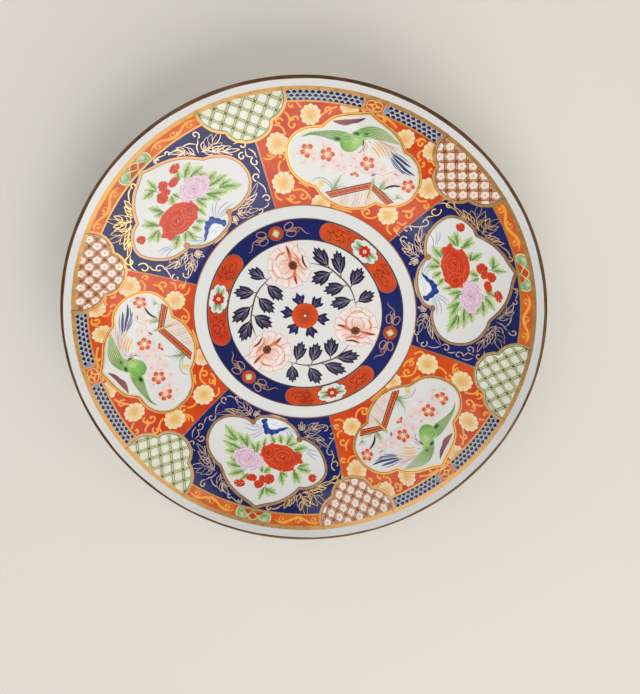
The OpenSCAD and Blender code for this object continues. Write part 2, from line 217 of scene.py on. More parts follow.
def fill(name, inc, col, h, at=90.0, exc=(), clip=(), step=2.5, rep=3, sink=0.05):
    """the area inside any of inc and all of clip, and outside every exc, as thin solids."""
    F = film(name)
    F.k += 1
    hh = h + (F.k % 11) * 0.0012
    if not isinstance(inc, list) or np.ndim(inc[0]) == 1:
        inc = [A(inc)]
    inc = [resample(p, step) for p in inc]
    exc = [resample(p, step) for p in exc]
    clip = [resample(p, step) for p in clip]
    loops = inc + exc + clip
    pts = np.concatenate(loops)
    edges, o = [], 0
    for l in loops:
        edges += [(o + i, o + (i + 1) % len(l)) for i in range(len(l))]
        o += len(l)
    allinc = np.concatenate(inc)
    lo, hi = allinc.min(0), allinc.max(0)
    size = float(max(hi - lo))
    if size > step * 1.3:
        gx = np.arange(lo[0] + step * 0.37, hi[0], step)
        gy = np.arange(lo[1] + step * 0.37, hi[1], step * 0.87)
        g = np.array([(x + (step / 2 if j % 2 else 0), y) for j, y in enumerate(gy) for x in gx])
        if len(g):
            keep = np.zeros(len(g), bool)
            for p in inc:
                keep |= inside(g, p)
            for p in clip:
                keep &= inside(g, p)
            for p in exc:
                keep &= ~inside(g, p)
            g = g[keep]
            if len(g) and len(g) * len(pts) < 6e6:
                d = np.min(np.hypot(g[:, None, 0] - pts[None, :, 0], g[:, None, 1] - pts[None, :, 1]), 1)
                g = g[d > step * 0.35]
            if len(g):
                pts = np.concatenate([pts, g])
    vs, es, fs, *_ = delaunay_2d_cdt([Vector(p) for p in pts], edges, [], 0, 1e-4)
    V = np.array([tuple(v) for v in vs])
    T = np.array([f for f in fs if len(f) == 3], int)
    if not len(T):
        print("FILL EMPTY A", name, len(pts), len(fs))
        return
    m = V[T].mean(1)
    keep = np.zeros(len(T), bool)
    for p in inc:
        keep |= inside(m, p)
    for p in clip:
        keep &= inside(m, p)
    for p in exc:
        keep &= ~inside(m, p)
    T = T[keep]
    if not len(T):
        print("FILL EMPTY B", name, len(pts), len(fs))
        return
    a = V[T]
    area = np.cross(a[:, 1] - a[:, 0], a[:, 2] - a[:, 0])
    T = T[np.abs(area) > 1e-7]
    a = V[T]
    area = np.cross(a[:, 1] - a[:, 0], a[:, 2] - a[:, 0])
    T[area < 0] = T[area < 0][:, ::-1]
    used, inv = np.unique(T, return_inverse=True)
    V, T = V[used], inv.reshape(-1, 3)
    n = len(V)
    e = {}
    for t in T:
        for i in range(3):
            e[(int(t[i]), int(t[(i + 1) % 3]))] = 1
    rim = [(i, j) for (i, j) in e if (j, i) not in e]
    faces = [tuple(int(i) for i in t) for t in T] + [tuple(int(i) + n for i in t[::-1]) for t in T]
    faces += [(j, i, i + n, j + n) for i, j in rim]
    cc = colours(col, V)
    for deg in copies(at, rep):
        W = turn(V, deg)
        F.put(np.concatenate([lift(W, hh), lift(W, -sink)]), faces, np.concatenate([cc, cc]))


def line(name, P, w, col, h, at=90.0, taper="round", rep=3, closed=False, smooth=5, sink=0.05, clip=None, notin=None):
    """a brush line w mm wide. taper: round, end, both, start."""
    P = A(P)
    Q = run(P, smooth, closed) if smooth > 1 and len(P) > 2 else resample(P, 2.0, False)
    Q = resample(Q, 1.6, closed)
    if clip is not None or notin is not None:
        Q = resample(Q, 0.5, closed)
        ok = np.ones(len(Q), bool)
        if clip is not None:
            ok &= inside(Q, clip)
        for p in (notin or []):
            ok &= ~inside(Q, p)
        runs, cur = [], []
        for q, k in zip(Q, ok):
            if k:
                cur.append(q)
            elif cur:
                runs.append(cur)
                cur = []
        if cur:
            runs.append(cur)
        for r_ in runs:
            if len(r_) > 2:
                line(name, r_[::2] + ([r_[-1]] if len(r_) % 2 == 0 else []), w, col, h, at, taper, rep, False, 1, sink)
        return
    F = film(name)
    F.k += 1
    hh = h + (F.k % 11) * 0.0012
    if closed:
        t = np.roll(Q, -1, 0) - np.roll(Q, 1, 0)
    else:
        t = np.gradient(Q, axis=0)
    t /= np.maximum(np.hypot(t[:, 0], t[:, 1]), 1e-9)[:, None]
    nrm = np.stack([-t[:, 1], t[:, 0]], 1)
    if closed:
        s = np.ones(len(Q))
    else:
        L = np.concatenate([[0], np.cumsum(np.hypot(*(Q[1:] - Q[:-1]).T))])
        u = L / max(L[-1], 1e-9)
        if taper == "round":
            s = np.ones(len(Q))
            s[0] = s[-1] = 0.45
        elif taper == "end":
            s = np.clip(1.05 - u ** 1.6, 0.12, 1)
        elif taper == "start":
            s = np.clip(1.05 - (1 - u) ** 1.6, 0.12, 1)
        else:
            s = np.clip(np.sin(math.pi * np.clip(u, 0, 1)) ** 0.6, 0.14, 1)
    hw = (w / 2 * s)[:, None]
    Lp, Rp = Q + nrm * hw, Q - nrm * hw
    n = len(Q)
    V = np.concatenate([Lp, Rp])
    faces = []
    last = n if closed else n - 1
    for i in range(last):
        j = (i + 1) % n
        faces.append((i, n + i, n + j, j))                       # top
        faces.append((2 * n + i, 2 * n + j, 3 * n + j, 3 * n + i))   # bottom
        faces.append((i, j, 2 * n + j, 2 * n + i))
        faces.append((n + i, 3 * n + i, 3 * n + j, n + j))
    if not closed:
        faces.append((0, 2 * n, 3 * n, n))
        m = n - 1
        faces.append((m, n + m, 3 * n + m, 2 * n + m))
    cc = colours(col, V)
    for deg in copies(at, rep):
        W = turn(V, deg)
        F.put(np.concatenate([lift(W, hh), lift(W, -sink)]), faces, np.concatenate([cc, cc]))


def dot(name, c, r, col, h, at=90.0, rep=3, n=10, ry=None, deg=0):
    fill(name, oval(c, r, ry or r, deg, n), col, h, at, step=9, rep=rep)


def blend2(c0, c1, fn):
    c0, c1 = np.asarray(c0, float), np.asarray(c1, float)

    def f(xy):
        k = np.clip(fn(np.asarray(xy)), 0, 1)[:, None]
        return c0 * (1 - k) + c1 * k
    return f


def radial(c, r, c0, c1, power=1.0, ry=None):
    """c0 at the centre, c1 at radius r."""
    c = np.asarray(c, float)
    return blend2(c0, c1, lambda p: (np.hypot((p[:, 0] - c[0]) / r, (p[:, 1] - c[1]) / (ry or r))) ** power)


def along(p, q, c0, c1, power=1.0):
    p, q = np.asarray(p, float), np.asarray(q, float)
    d = q - p
    return blend2(c0, c1, lambda x: np.clip(((x - p) @ d) / (d @ d), 0, 1) ** power)


# ------------------------------------------------------------------ palette
COBALT = lin((17, 26, 92))
COBALT_D = lin((10, 14, 56))
RED = lin((198, 50, 12))
RED_D = lin((150, 34, 14))
ORANGE = lin((224, 106, 30))
GOLD = lin((214, 164, 98))
GOLD_B = lin((240, 186, 100))
GOLD_D = lin((146, 100, 62))
BROWN = lin((70, 42, 30))
CREAM = lin((243, 212, 152))
CREAM_E = lin((250, 224, 176))
YEL = lin((246, 172, 74))
BORDER = lin((222, 112, 34))
GREEN = lin((120, 168, 108))
LEAF = lin((140, 178, 92))
LEAF_D = lin((74, 128, 64))
LEAF_L = lin((198, 214, 152))
LILAC = lin((224, 196, 210))
LILAC_D = lin((184, 134, 164))
NAVY = lin((36, 30, 58))
NAVY_D = lin((22, 18, 38))
SCALE = lin((150, 153, 174))
ROCK = lin((26, 52, 140))
PINK = lin((246, 214, 198))
CORAL = lin((226, 122, 84))
WHITE = lin((232, 232, 228))
GREY = lin((150, 160, 178))


# ================================================================== rim and border
LAPPETS = (31.2, -28.8)        # clockwise-negative offsets from a blue panel's centre
lap_half = [(0, 101.1), (3.5, 101.4), (8.5, 103.4), (11.3, 106.3), (12.2, 108.8)]
lap_side = [(12.2, 108.8), (16.7, 110.6), (20.2, 113.6), (22.3, 117.5), (22.6, 122.0)]
LAPPET = np.concatenate([run(lap_side[::-1], 6)[:-1], run(lap_half[::-1], 6)[:-1],
                         run(mir(lap_half[::-1]), 6)[:-1], run(mir(lap_side[::-1]), 6)[:-1],
                         A([(-22.6, 122.0), (-22.3, 123.0), (-22.2, 130), (22.2, 130), (22.3, 123.0)])])
PEONY_C = joined([
    [(-3, 117.2), (1.5, 115.4), (7, 113.6), (13, 110.8), (18, 107), (21.5, 103), (23.5, 100.5)],
    [(23.5, 100.5), (28, 98), (33, 93), (35.5, 86), (34, 78), (29, 72.6), (22, 70.3), (15.5, 70.4), (12, 72)],
    [(12, 72), (8.5, 67.6), (4, 66), (-2, 65.5), (-8, 66.4), (-14, 69.3), (-18, 73.5)],
    [(-18, 73.5), (-23, 73.8), (-30, 76.2), (-36, 82), (-39, 89), (-36.5, 95.5), (-31, 100), (-26, 101.5)],
    [(-26, 101.5), (-23.5, 105), (-19.5, 109), (-14, 112.6), (-8.5, 114.8), (-3, 117.2)]])
BIRD_C = joined([
    [(0.5, 116.8), (5, 114.8), (10, 113), (15.5, 110.8), (20, 107.5), (23.5, 103.5)],
    [(23.5, 103.5), (29, 101.6), (34, 97), (37, 89), (35.5, 80.5), (30.5, 75.5), (24, 73.2), (18.5, 73.5)],
    [(18.5, 73.5), (14, 69.5), (8, 67), (2, 66), (-5, 67), (-11, 69.6), (-15, 72.5)],
    [(-15, 72.5), (-24, 74), (-31, 79), (-35, 88), (-33.5, 95), (-28.5, 100.2), (-20.5, 103.5)],
    [(-20.5, 103.5), (-17, 108.8), (-12, 112), (-6, 114.4), (0.5, 116.8)]])
B_AT, R_AT = PH, PH + 60.0


def lappets_in(panel_turn=0.0):
    """the lappet outlines near a panel, in that panel's own coordinates (turn 0 blue, 60 red)."""
    out = []
    for s in LAPPETS:
        for k in (-120, 0, 120):
            d = s + k - panel_turn
            if abs(d) < 60:
                out.append(turn(LAPPET, d))
    return out


def growl(ps, d):
    return [grow(p, d) for p in ps]


LB, LR = lappets_in(0), lappets_in(60)


def ring_film(name, r0, r1, col, h, n=360):
    F = film(name)
    t = np.linspace(0, 2 * math.pi, n, endpoint=False)
    rs = np.linspace(r0, r1, max(2, int((r1 - r0) / 2.5) + 2))
    m = len(rs)
    xy = np.concatenate([np.stack([r * np.cos(t), r * np.sin(t)], 1) for r in rs])
    top, bot = lift(xy, h), lift(xy, -0.05)
    N = n * m
    faces = []
    for i in range(m - 1):
        for j in range(n):
            k = (j + 1) % n
            faces.append((i * n + j, (i + 1) * n + j, (i + 1) * n + k, i * n + k))
            faces.append((N + i * n + j, N + i * n + k, N + (i + 1) * n + k, N + (i + 1) * n + j))
    for j in range(n):
        k = (j + 1) % n
        faces.append((j, k, N + k, N + j))
        o = (m - 1) * n
        faces.append((o + j, N + o + j, N + o + k, o + k))
    cc = colours(col, np.concatenate([xy, xy]))
    F.put(np.concatenate([top, bot]), faces, cc)


# gilt lines: the broad outer one, and the fine one between border and panels
ring_film("outer_gilt_line", 123.15, 124.95, GOLD, 0.10)
for at, laps in ((B_AT, LB), (R_AT, LR)):
    line("inner_gilt_line", pol(117.9, np.linspace(-30.2, 30.2, 60)), 0.75, GOLD, 0.10, at, "round", smooth=1, notin=growl(laps, 0.2))

# border over the blue panels: orange with a scrolling vine either side of a green cartouche
B_IN, B_OUT = 118.15, 123.2
for a0, a1 in ((-22, -6.7), (3.4, 22.0)):
    # angles here are clockwise of the panel's centre
    fill("orange_border_segments", wedge(a0, a1, B_IN, B_OUT), blend2(BORDER, lin((205, 86, 26)), lambda p: 0.5 + 0.5 * np.sin(p[:, 0] * 0.35)), 0.04, B_AT, exc=growl(LB, 0.3))
MID = (B_IN + B_OUT) / 2
for s, a0, a1 in ((1, 4.2, 18.4), (-1, 7.4, 21.0)):
    sg = 1 if s == 1 else -1
    # vine: a travelling wave with a curl in each bay
    ts = np.linspace(a0, a1, 60)
    ph = (ts - a0) / 4.6 * math.pi
    path = pol(MID + 1.45 * np.sin(ph), sg * ts)
    line("orange_border_vines", path, 1.3, YEL, 0.09, B_AT, "both", smooth=1, notin=growl(LB, 0.5))
    for i in range(4):
        ac = a0 + 4.6 * (i + 0.5)
        if ac > a1:
            break
        d = -1 if i % 2 == 0 else 1
        c = pol(MID + 0.35 * d, sg * ac)[0]
        q = np.linspace(0, 1.55 * math.pi, 14)
        rr = 1.9 - 0.95 * q / (1.55 * math.pi)
        curl = np.stack([c[0] + rr * 1.25 * np.cos(q + 0.3) * sg, c[1] - d * rr * 0.95 * np.sin(q + 0.3)], 1)
        line("orange_border_vines", curl, 1.05, YEL, 0.09, B_AT, "end", smooth=1, notin=growl(LB, 0.5))
        dot("orange_border_vines", pol(MID + 0.5 * d, sg * (ac + 0.25))[0], 0.75, YEL, 0.10, B_AT, n=8)

# green cartouche crossed by gilt scrolls, with orange between them
fill("green_border_medallions", wedge(-6.75, 3.4, B_IN, B_OUT), lin((212, 118, 50)), 0.04, B_AT)


def bp(x, y):
    """x mm along the border, y the radius."""
    return pol(MID + (y - 121.1) * 0.9, math.degrees(x / 121.0))[0]


GM = run([bp(-12.4, 123.6), bp(-6, 123.7), bp(0, 123.7), bp(6.2, 123.6), bp(7.1, 121.2), bp(6.2, 118.7), bp(0, 118.6), bp(-6, 118.6), bp(-12.4, 118.7), bp(-13.4, 121.2)], 4, True)
fill("green_border_medallions", GM, blend2(lin((116, 166, 118)), lin((156, 190, 142)), lambda p: 0.5 + 0.5 * np.sin(p[:, 0] * 0.9 + p[:, 1])), 0.075, B_AT, step=1.6)
for c_, rx_, ry_ in (((-10.2, 122.2), 2.0, 1.1), ((3.6, 122.0), 2.1, 1.1)):
    fill("green_border_medallions", oval(bp(*c_), rx_, ry_, -math.degrees(c_[0] / 121.0), 18), radial(bp(*c_), rx_, lin((222, 230, 206)), lin((140, 182, 134)), 1.2, ry_), 0.10, B_AT, step=1.2)
for P_ in ([(-5.7, 121.9), (-4.2, 123.2), (-2.6, 123.6), (-1.2, 122.9), (-0.2, 121.9), (-1.4, 120.9), (-2.8, 120.3), (-4.4, 120.9)], [(-9.0, 118.9), (-7.2, 120.4), (-5.6, 121.0), (-4.0, 119.9), (-3.2, 118.9)],
           [(-1.8, 119.0), (-0.6, 120.6), (0.6, 121.0), (2.2, 120.0), (3.0, 119.0)]):
    fill("scale_border_motifs", run([bp(*p) for p in P_], 3, True), blend2(lin((204, 84, 30)), lin((184, 56, 22)), lambda p: 0.5 + 0.5 * np.sin(p[:, 0] * 1.7)), 0.12, B_AT, step=1.2)
for P_, w_, c_ in (([(-10.8, 121.1), (-11.8, 121.8), (-11.3, 122.9), (-9.7, 123.2), (-7.2, 122.3), (-5.0, 121.0), (-3.1, 119.8), (-2.6, 119.1)], 0.5, (242, 208, 140)),
                   ([(-9.4, 119.1), (-7.0, 120.8), (-5.4, 122.3), (-3.9, 123.4), (-2.4, 123.6), (-1.0, 122.9), (0.4, 121.6), (2.2, 120.4), (3.4, 119.1)], 0.5, (240, 200, 132)),
                   ([(-2.6, 119.1), (-1.4, 120.2), (0.0, 121.8), (1.4, 123.0), (2.9, 123.4), (4.4, 122.8), (4.3, 121.7), (3.3, 121.6)], 0.5, (242, 208, 140)),
                   ([(-12.3, 123.6), (-13.4, 122.2), (-13.5, 120.4), (-12.5, 118.7)], 0.55, (234, 224, 184)), ([(6.2, 123.6), (7.2, 122.2), (7.2, 120.4), (6.4, 118.7)], 0.55, (234, 224, 184)),
                   ([(-11.9, 119.6), (-10.4, 118.9), (-9.2, 119.3)], 0.4, (206, 214, 168)), ([(4.0, 119.2), (5.2, 119.6), (5.6, 121.0)], 0.4, (206, 214, 168))):
    line("border_medallion_gilding", [bp(*p) for p in P_], w_, lin(c_), 0.15, B_AT, "round" if w_ > 0.52 else "both")

# border over the red panels: a scale pattern either side of an orange flower
for a0, a1 in ((-22, -2.0), (3.0, 22.0)):
    fill("scale_border_segments", wedge(a0, a1, B_IN, B_OUT), blend2(SCALE, lin((138, 141, 164)), lambda p: 0.5 + 0.5 * np.sin(p[:, 0] * 0.8)), 0.04, R_AT, exc=growl(LR, 0.3))
pitch = 1.42
for row in range(3):
    rr = B_IN + 0.1 + row * 1.74
    for i in range(-14, 15):
        a = (i + (0.5 if row % 2 else 0)) * pitch
        if -2.7 < a < 3.7 or abs(a) > 20.6:
            continue
        c = pol(rr, a)[0]
        if any(inside(c[None], grow(p, 1.0))[0] for p in LR):
            continue
        u = math.radians(a)
        e1, e2 = np.array([math.cos(u), -math.sin(u)]), np.array([math.sin(u), math.cos(u)])
        if row < 4:
            q = np.linspace(0.08 * math.pi, 0.92 * math.pi, 9)
            arc = [c + e1 * 1.5 * math.cos(x) + e2 * 1.6 * math.sin(x) for x in q]
            line("scale_pattern_lines", arc, 0.36, lin((208, 208, 217)), 0.08, R_AT, "round", smooth=1)
            top = c + e2 * 0.5
            if rr + 1.2 < B_OUT:
                fill("scale_pattern_dots", [top + e1 * x + e2 * y for x, y in ((-1.12, -0.15), (-0.84, 0.56), (0, 0.94), (0.84, 0.56), (1.12, -0.15), (0.45, -0.5), (-0.45, -0.5))],
                     lin((32, 33, 60)), 0.09, R_AT, step=5)
fill("scale_border_motifs", wedge(-1.95, 2.95, B_IN, B_OUT), blend2(lin((222, 116, 48)), lin((200, 80, 30)), lambda p: 0.5 + 0.5 * np.sin(p[:, 1] * 2.2)), 0.05, R_AT)
c0 = pol(MID, 0.5)[0]
for k in range(4):
    v = turn([(0, 2.45 if k % 2 == 0 else 3.9)], 90 * k)[0]
    w = turn([(1.0, 1.0)], 90 * k)[0]
    w2 = turn([(-1.0, 1.0)], 90 * k)[0]
    fill("border_medallion_gilding", [c0, c0 + w * 0.8, c0 + v, c0 + w2 * 0.8], GOLD_B, 0.11, R_AT, step=3)
dot("scale_border_motifs", c0, 0.7, RED, 0.14, R_AT)
line("border_medallion_gilding", scallop(c0, 4.6, 2.55, 4, 0.2, -0.5, 6), 0.36, lin((244, 206, 146)), 0.13, R_AT, closed=True, smooth=1)
for e in (-1.95, 2.95):
    line("border_medallion_gilding", [pol(B_IN + 0.2, e)[0], pol(MID, e * 0.97)[0], pol(B_OUT - 0.2, e)[0]], 0.35, GOLD_B, 0.12, R_AT)

# lappets: a brocade ground in each, with a double gilt outline
for s in LAPPETS:
    at = B_AT + s
    core = grow(LAPPET, -0.35)
    capr = wedge(-14, 14, 90, B_OUT)
    if s < 0:
        fill("green_brocade_lappets", core, blend2(lin((212, 214, 184)), lin((198, 204, 160)), lambda p: 0.5 + 0.5 * np.sin(p[:, 0] * 0.9 + p[:, 1] * 0.7)), 0.04, at, clip=[capr])
    else:
        fill("red_brocade_lappets", core, blend2(lin((214, 176, 144)), lin((192, 146, 112)), lambda p: 0.5 + 0.5 * np.sin(p[:, 0] * 0.8 - p[:, 1] * 0.9)), 0.04, at, clip=[capr])
    lim = resample(grow(LAPPET, -1.3), 0.8)
    r_ = np.hypot(lim[:, 0], lim[:, 1])
    lim = lim * np.minimum(1, (B_OUT - 0.05) / r_)[:, None]
    # the lattice leans 40 degrees; blobs sit in its cells
    d = 5.6 if s < 0 else 5.15
    ang = 38.0 if s < 0 else 35.0
    e1 = np.array([math.cos(math.radians(ang)), -math.sin(math.radians(ang))]) * d
    e2 = np.array([math.cos(math.radians(ang + 14)), math.sin(math.radians(ang + 14))]) * d
    o = np.array([-0.4, 115.0])
    name = "green_brocade_lattice" if s < 0 else "red_brocade_lattice"
    for i in range(-9, 10):
        for (u, v) in ((e1, e2), (e2, e1)):
            base = o + u * (i + 0.5)
            for off in (-0.5, 0.5):
                m = np.array([-v[1], v[0]]) / d * off
                seg = [base + v * t + m for t in np.linspace(-8, 8, 33)]
                col_ = (lin((150, 152, 98)) if s < 0 else lin((154, 80, 44)))
                if s > 0 and off > 0:
                    col_ = lin((184, 122, 68))
                line(name, seg, 0.42 if s < 0 else 0.5, col_, 0.08, at, "round", smooth=1, clip=lim)
    for i in range(-9, 10):
        for j in range(-9, 10):
            c = o + e1 * i + e2 * j
            if s < 0:
                bl = turn(oval((0, 0), 2.2, 2.1, 0, 14), 10) + c
                if inside(c[None], grow(lim, 1.2))[0]:
                    fill("brocade_blooms", bl, radial(c, 2.2, lin((240, 240, 234)), lin((228, 231, 210))), 0.11, at, clip=[lim], step=2.0)
            else:
                if inside(c[None], grow(lim, 1.2))[0]:
                    fill("brocade_blooms", scallop(c, 2.2, 2.15, 5, 0.2, 12 * (i + j), 4), radial(c, 2.3, lin((250, 240, 232)), lin((240, 220, 204))), 0.11, at, clip=[lim], step=2.0)
                if inside(c[None], lim)[0]:
                    dot("brocade_centres", c, 0.42, lin((214, 140, 96)), 0.14, at, n=7)
            k = c + (e1 + e2) / 2
            if inside(k[None], lim)[0]:
                if s < 0:
                    fill("green_brocade_lattice", turn(A([(-0.72, 0), (0, 0.72), (0.72, 0), (0, -0.72)]), 8) + k, lin((92, 92, 40)), 0.105, at, step=3)
                else:
                    fill("red_brocade_lattice", turn(A([(-0.95, 0), (0, 0.95), (0.95, 0), (0, -0.95)]), 8) + k, lin((138, 52, 30)) if (i + j) % 2 else lin((160, 88, 44)), 0.105, at, step=3)
    edge = [p for p in LAPPET if np.hypot(*p) < B_OUT + 0.2]
    # order the outline as one open line from rim to rim
    k0 = int(np.argmax([p[0] if np.hypot(*p) > 121 else -99 for p in LAPPET]))
    ol = np.array([p for p in run(lap_side[::-1], 6)[:-1]] + [p for p in run(lap_half[::-1], 6)[:-1]] + [p for p in run(mir(lap_half[::-1]), 6)[:-1]] + [p for p in run(mir(lap_side[::-1]), 6)])
    ol = np.vstack([[(22.5, 123.2)], ol, [(-22.5, 123.2)]])
    line("lappet_gilt_frames", ol, 0.95, GOLD, 0.15, at, smooth=1)
    t_ = np.gradient(ol, axis=0)
    t_ /= np.hypot(t_[:, 0], t_[:, 1])[:, None]
    nn = np.stack([-t_[:, 1], t_[:, 0]], 1)
    line("lappet_gilt_frames", ol - nn * 1.15, 0.42, lin((150, 104, 62)) if s > 0 else lin((128, 112, 66)), 0.14, at, smooth=1)

# ================================================================== shapes used in the pictures
def petal(c, deg, r1, hw, sx=1.0, sy=1.0, r0=0.12, notch=0.07, wave=0.0, skew=0.0):
    """one petal of a flower seen from above; deg clockwise of +Y, hw its half-width in degrees."""
    t = np.linspace(-1, 1, 17)
    r = r1 * (1 - 0.16 * t ** 4 - notch * np.exp(-(t / 0.22) ** 2) + wave * np.cos(t * 9))
    th = np.radians(deg + hw * t * (1 - 0.12 * t ** 2) + skew * t * t)
    o = np.stack([r * np.sin(th) * sx, r * np.cos(th) * sy], 1)
    q = np.linspace(0.86, 0.0, 6)[:, None]
    a0 = math.radians(deg)
    b0 = np.array([r0 * r1 * math.sin(a0) * sx, r0 * r1 * math.cos(a0) * sy])
    right = b0 + (o[-1] - b0) * q ** 0.8
    left = b0 + (o[0] - b0) * q[::-1] ** 0.8
    return np.concatenate([left, o, right[:-1]]) + A(c)


def blade(p, q, w, bend=0.0, tip=0.75, n=9):
    """a smooth pointed leaf from p to q; bend bows it to its left."""
    p, q = np.asarray(p, float), np.asarray(q, float)
    d = q - p
    L_ = np.hypot(*d)
    e, m = d / L_, np.array([-d[1], d[0]]) / L_
    t = np.linspace(0, 1, n)
    mid = p + d * t[:, None] + m * (bend * L_ * 4 * t * (1 - t))[:, None]
    ww = (w / 2) * (np.sin(math.pi * t ** tip)) ** 0.85
    ww[0] = 0.12 * w / 2
    ww[-1] = 0
    return np.concatenate([mid + m * ww[:, None], (mid - m * ww[:, None])[-2::-1]])


def mid_of(p, q, bend, n=7):
    p, q = np.asarray(p, float), np.asarray(q, float)
    d = q - p
    m = np.array([-d[1], d[0]])
    t = np.linspace(0, 1, n)
    return p + d * t[:, None] + m * (bend * 4 * t * (1 - t))[:, None]


def axis_col(p, q, w, c_mid, c_edge, power=1.0):
    p, q = np.asarray(p, float), np.asarray(q, float)
    d = q - p
    e = d / np.hypot(*d)
    return blend2(c_mid, c_edge, lambda x: (np.abs((x - p) @ np.array([-e[1], e[0]])) / (w / 2)) ** power)


def soft_leaf(name, p, q, w, h, at, bend=0.0, lobes=2, dark=LEAF_D, light=LEAF_L, mid=LEAF):
    """a painted leaf with a few pointed lobes, dark along its midrib."""
    p, q = np.asarray(p, float), np.asarray(q, float)
    d = q - p
    L_ = np.hypot(*d)
    e, m = d / L_, np.array([-d[1], d[0]]) / L_
    shapes = [blade(p, q, w * 1.12, bend, 0.8)]
    for k in range(lobes):
        t0 = 0.16 + 0.24 * k
        for s in (-1, 1):
            b = p + d * t0
            tip_ = p + d * (t0 + 0.36) + m * s * w * (0.66 - 0.14 * k)
            shapes.append(blade(b, tip_, w * 0.58, -0.10 * s))
    col = blend2(mid, light, lambda x: np.clip(np.abs((x - p) @ m) / (w * 0.5), 0, 1) ** 0.9 + 0.5 * np.clip(((x - p) @ e) / L_ - 0.5, 0, 1))
    fill(name, shapes, col, h, at, step=0.9)
    line(name, mid_of(p + d * 0.02, p + d * 0.7, bend), min(1.5, w * 0.3), dark * 0.55 + mid * 0.45, h + 0.02, at, "both")
    line(name, mid_of(p, p + d * 0.88, bend), 0.4, dark * 0.85, h + 0.045, at, "end")
    for k in range(lobes):
        t0 = 0.16 + 0.24 * k
        for s in (-1, 1):
            b = p + d * t0
            line(name, [b, p + d * (t0 + 0.2) + m * s * w * 0.3, p + d * (t0 + 0.34) + m * s * w * (0.54 - 0.12 * k)], 0.3, dark * 0.7 + mid * 0.3, h + 0.045, at, "end")


def curl(c, r, start, sweep, w, name, col, h, at, ball=True, squash=1.0):
    """a scroll that winds in to a ball. start and sweep in degrees, ccw positive."""
    n = max(8, int(abs(sweep) / 22))
    t = np.linspace(0, 1, n)
    a = np.radians(start + sweep * t)
    rr = r * (1 - 0.68 * t)
    P_ = np.stack([c[0] + rr * np.cos(a), c[1] + rr * np.sin(a) * squash], 1)
    line(name, P_, w, col, h, at, "round", smooth=3)
    if ball:
        dot(name, P_[-1], w * 0.75, col, h + 0.01, at, n=9)
    return P_[0]


ACN = [0]


def acanthus(name, base, tip, w, bend, col, h, at, pairs=3, lw=0.4):
    """a leaf of the gilt scrollwork: pointed leaflets in pairs up a bowed stem, each an outline with a vein."""
    base, tip = np.asarray(base, float), np.asarray(tip, float)
    ACN[0] += 1
    h = h + 0.034 * (ACN[0] % 3)
    d = tip - base
    L_ = np.hypot(*d)
    m = np.array([-d[1], d[0]]) / L_

    def on(t):
        return base + d * t + m * bend * L_ * 4 * t * (1 - t)

    lobes = []
    for i in range(pairs):
        t0 = 0.04 + 0.52 * i / pairs
        out = (0.50, 0.56, 0.44, 0.34)[min(i, 3)]
        for s_ in (-1, 1):
            p = on(t0 + (0.03 if s_ > 0 else 0.0))
            q = on(min(0.97, t0 + 0.34)) + m * s_ * w * out
            lobes.append((p, q, w * 0.30, 0.16 * s_))
    lobes.append((on(0.46), tip, w * 0.36, 0.5 * bend))
    for j, (p, q, ww, bd) in enumerate(lobes):
        hh = h + 0.0042 * j
        B = blade(p, q, max(ww, 1.15), bd, 0.86)
        fill(name + "_ground", B, blend2(COBALT, COBALT_D, lambda x: 0.25 + 0.35 * np.sin(x[:, 0] * 1.1 + x[:, 1])), hh - 0.0026, at, exc=OFF, step=2.2)
        line(name, B, lw, col, hh, at, "round", smooth=2, notin=OFF)
        line(name, mid_of(p, p + (q - p) * 0.66, bd), lw * 0.7, col * 0.85, hh, at, "both", smooth=2, notin=OFF)
    line(name, [on(t) for t in np.linspace(-0.02, 0.62, 8)], lw * 1.15, col, h + 0.004 * len(lobes), at, "end", smooth=2, notin=OFF)


# ================================================================== cobalt panels with peonies
H0 = 0.04
SECT = 29.32
hole = grow(PEONY_C, 0.62)
fill("cobalt_panels", wedge(-SECT + 0.25, SECT - 0.25, 63.7, 117.5, 40), COBALT, H0, B_AT, exc=growl(LB, 0.45) + [hole])
line("peony_cartouche_frames", PEONY_C, 1.25, lin((190, 148, 106)), 0.12, B_AT, closed=True, smooth=1)
line("peony_cartouche_frames", grow(PEONY_C, -0.78), 0.3, lin((120, 84, 62)), 0.10, B_AT, closed=True, smooth=1)
for c_, r_ in (((11.6, 71.6), 1.75), ((-18.2, 74.6), 1.85)):
    fill("peony_cartouche_frames", oval(c_, r_, r_, 0, 20), lin((168, 122, 84)), 0.15, B_AT, step=3)
for e in (-SECT, SECT):
    line("panel_gilt_dividers", np.stack([pol(r, e)[0] for r in np.linspace(63.6, 117.7, 30)]), 0.62, lin((176, 120, 86)), 0.12, B_AT, smooth=1, notin=growl(LB, 0.3))
ring_film("panel_gilt_dividers", 63.2, 63.8, lin((150, 100, 74)), 0.11)

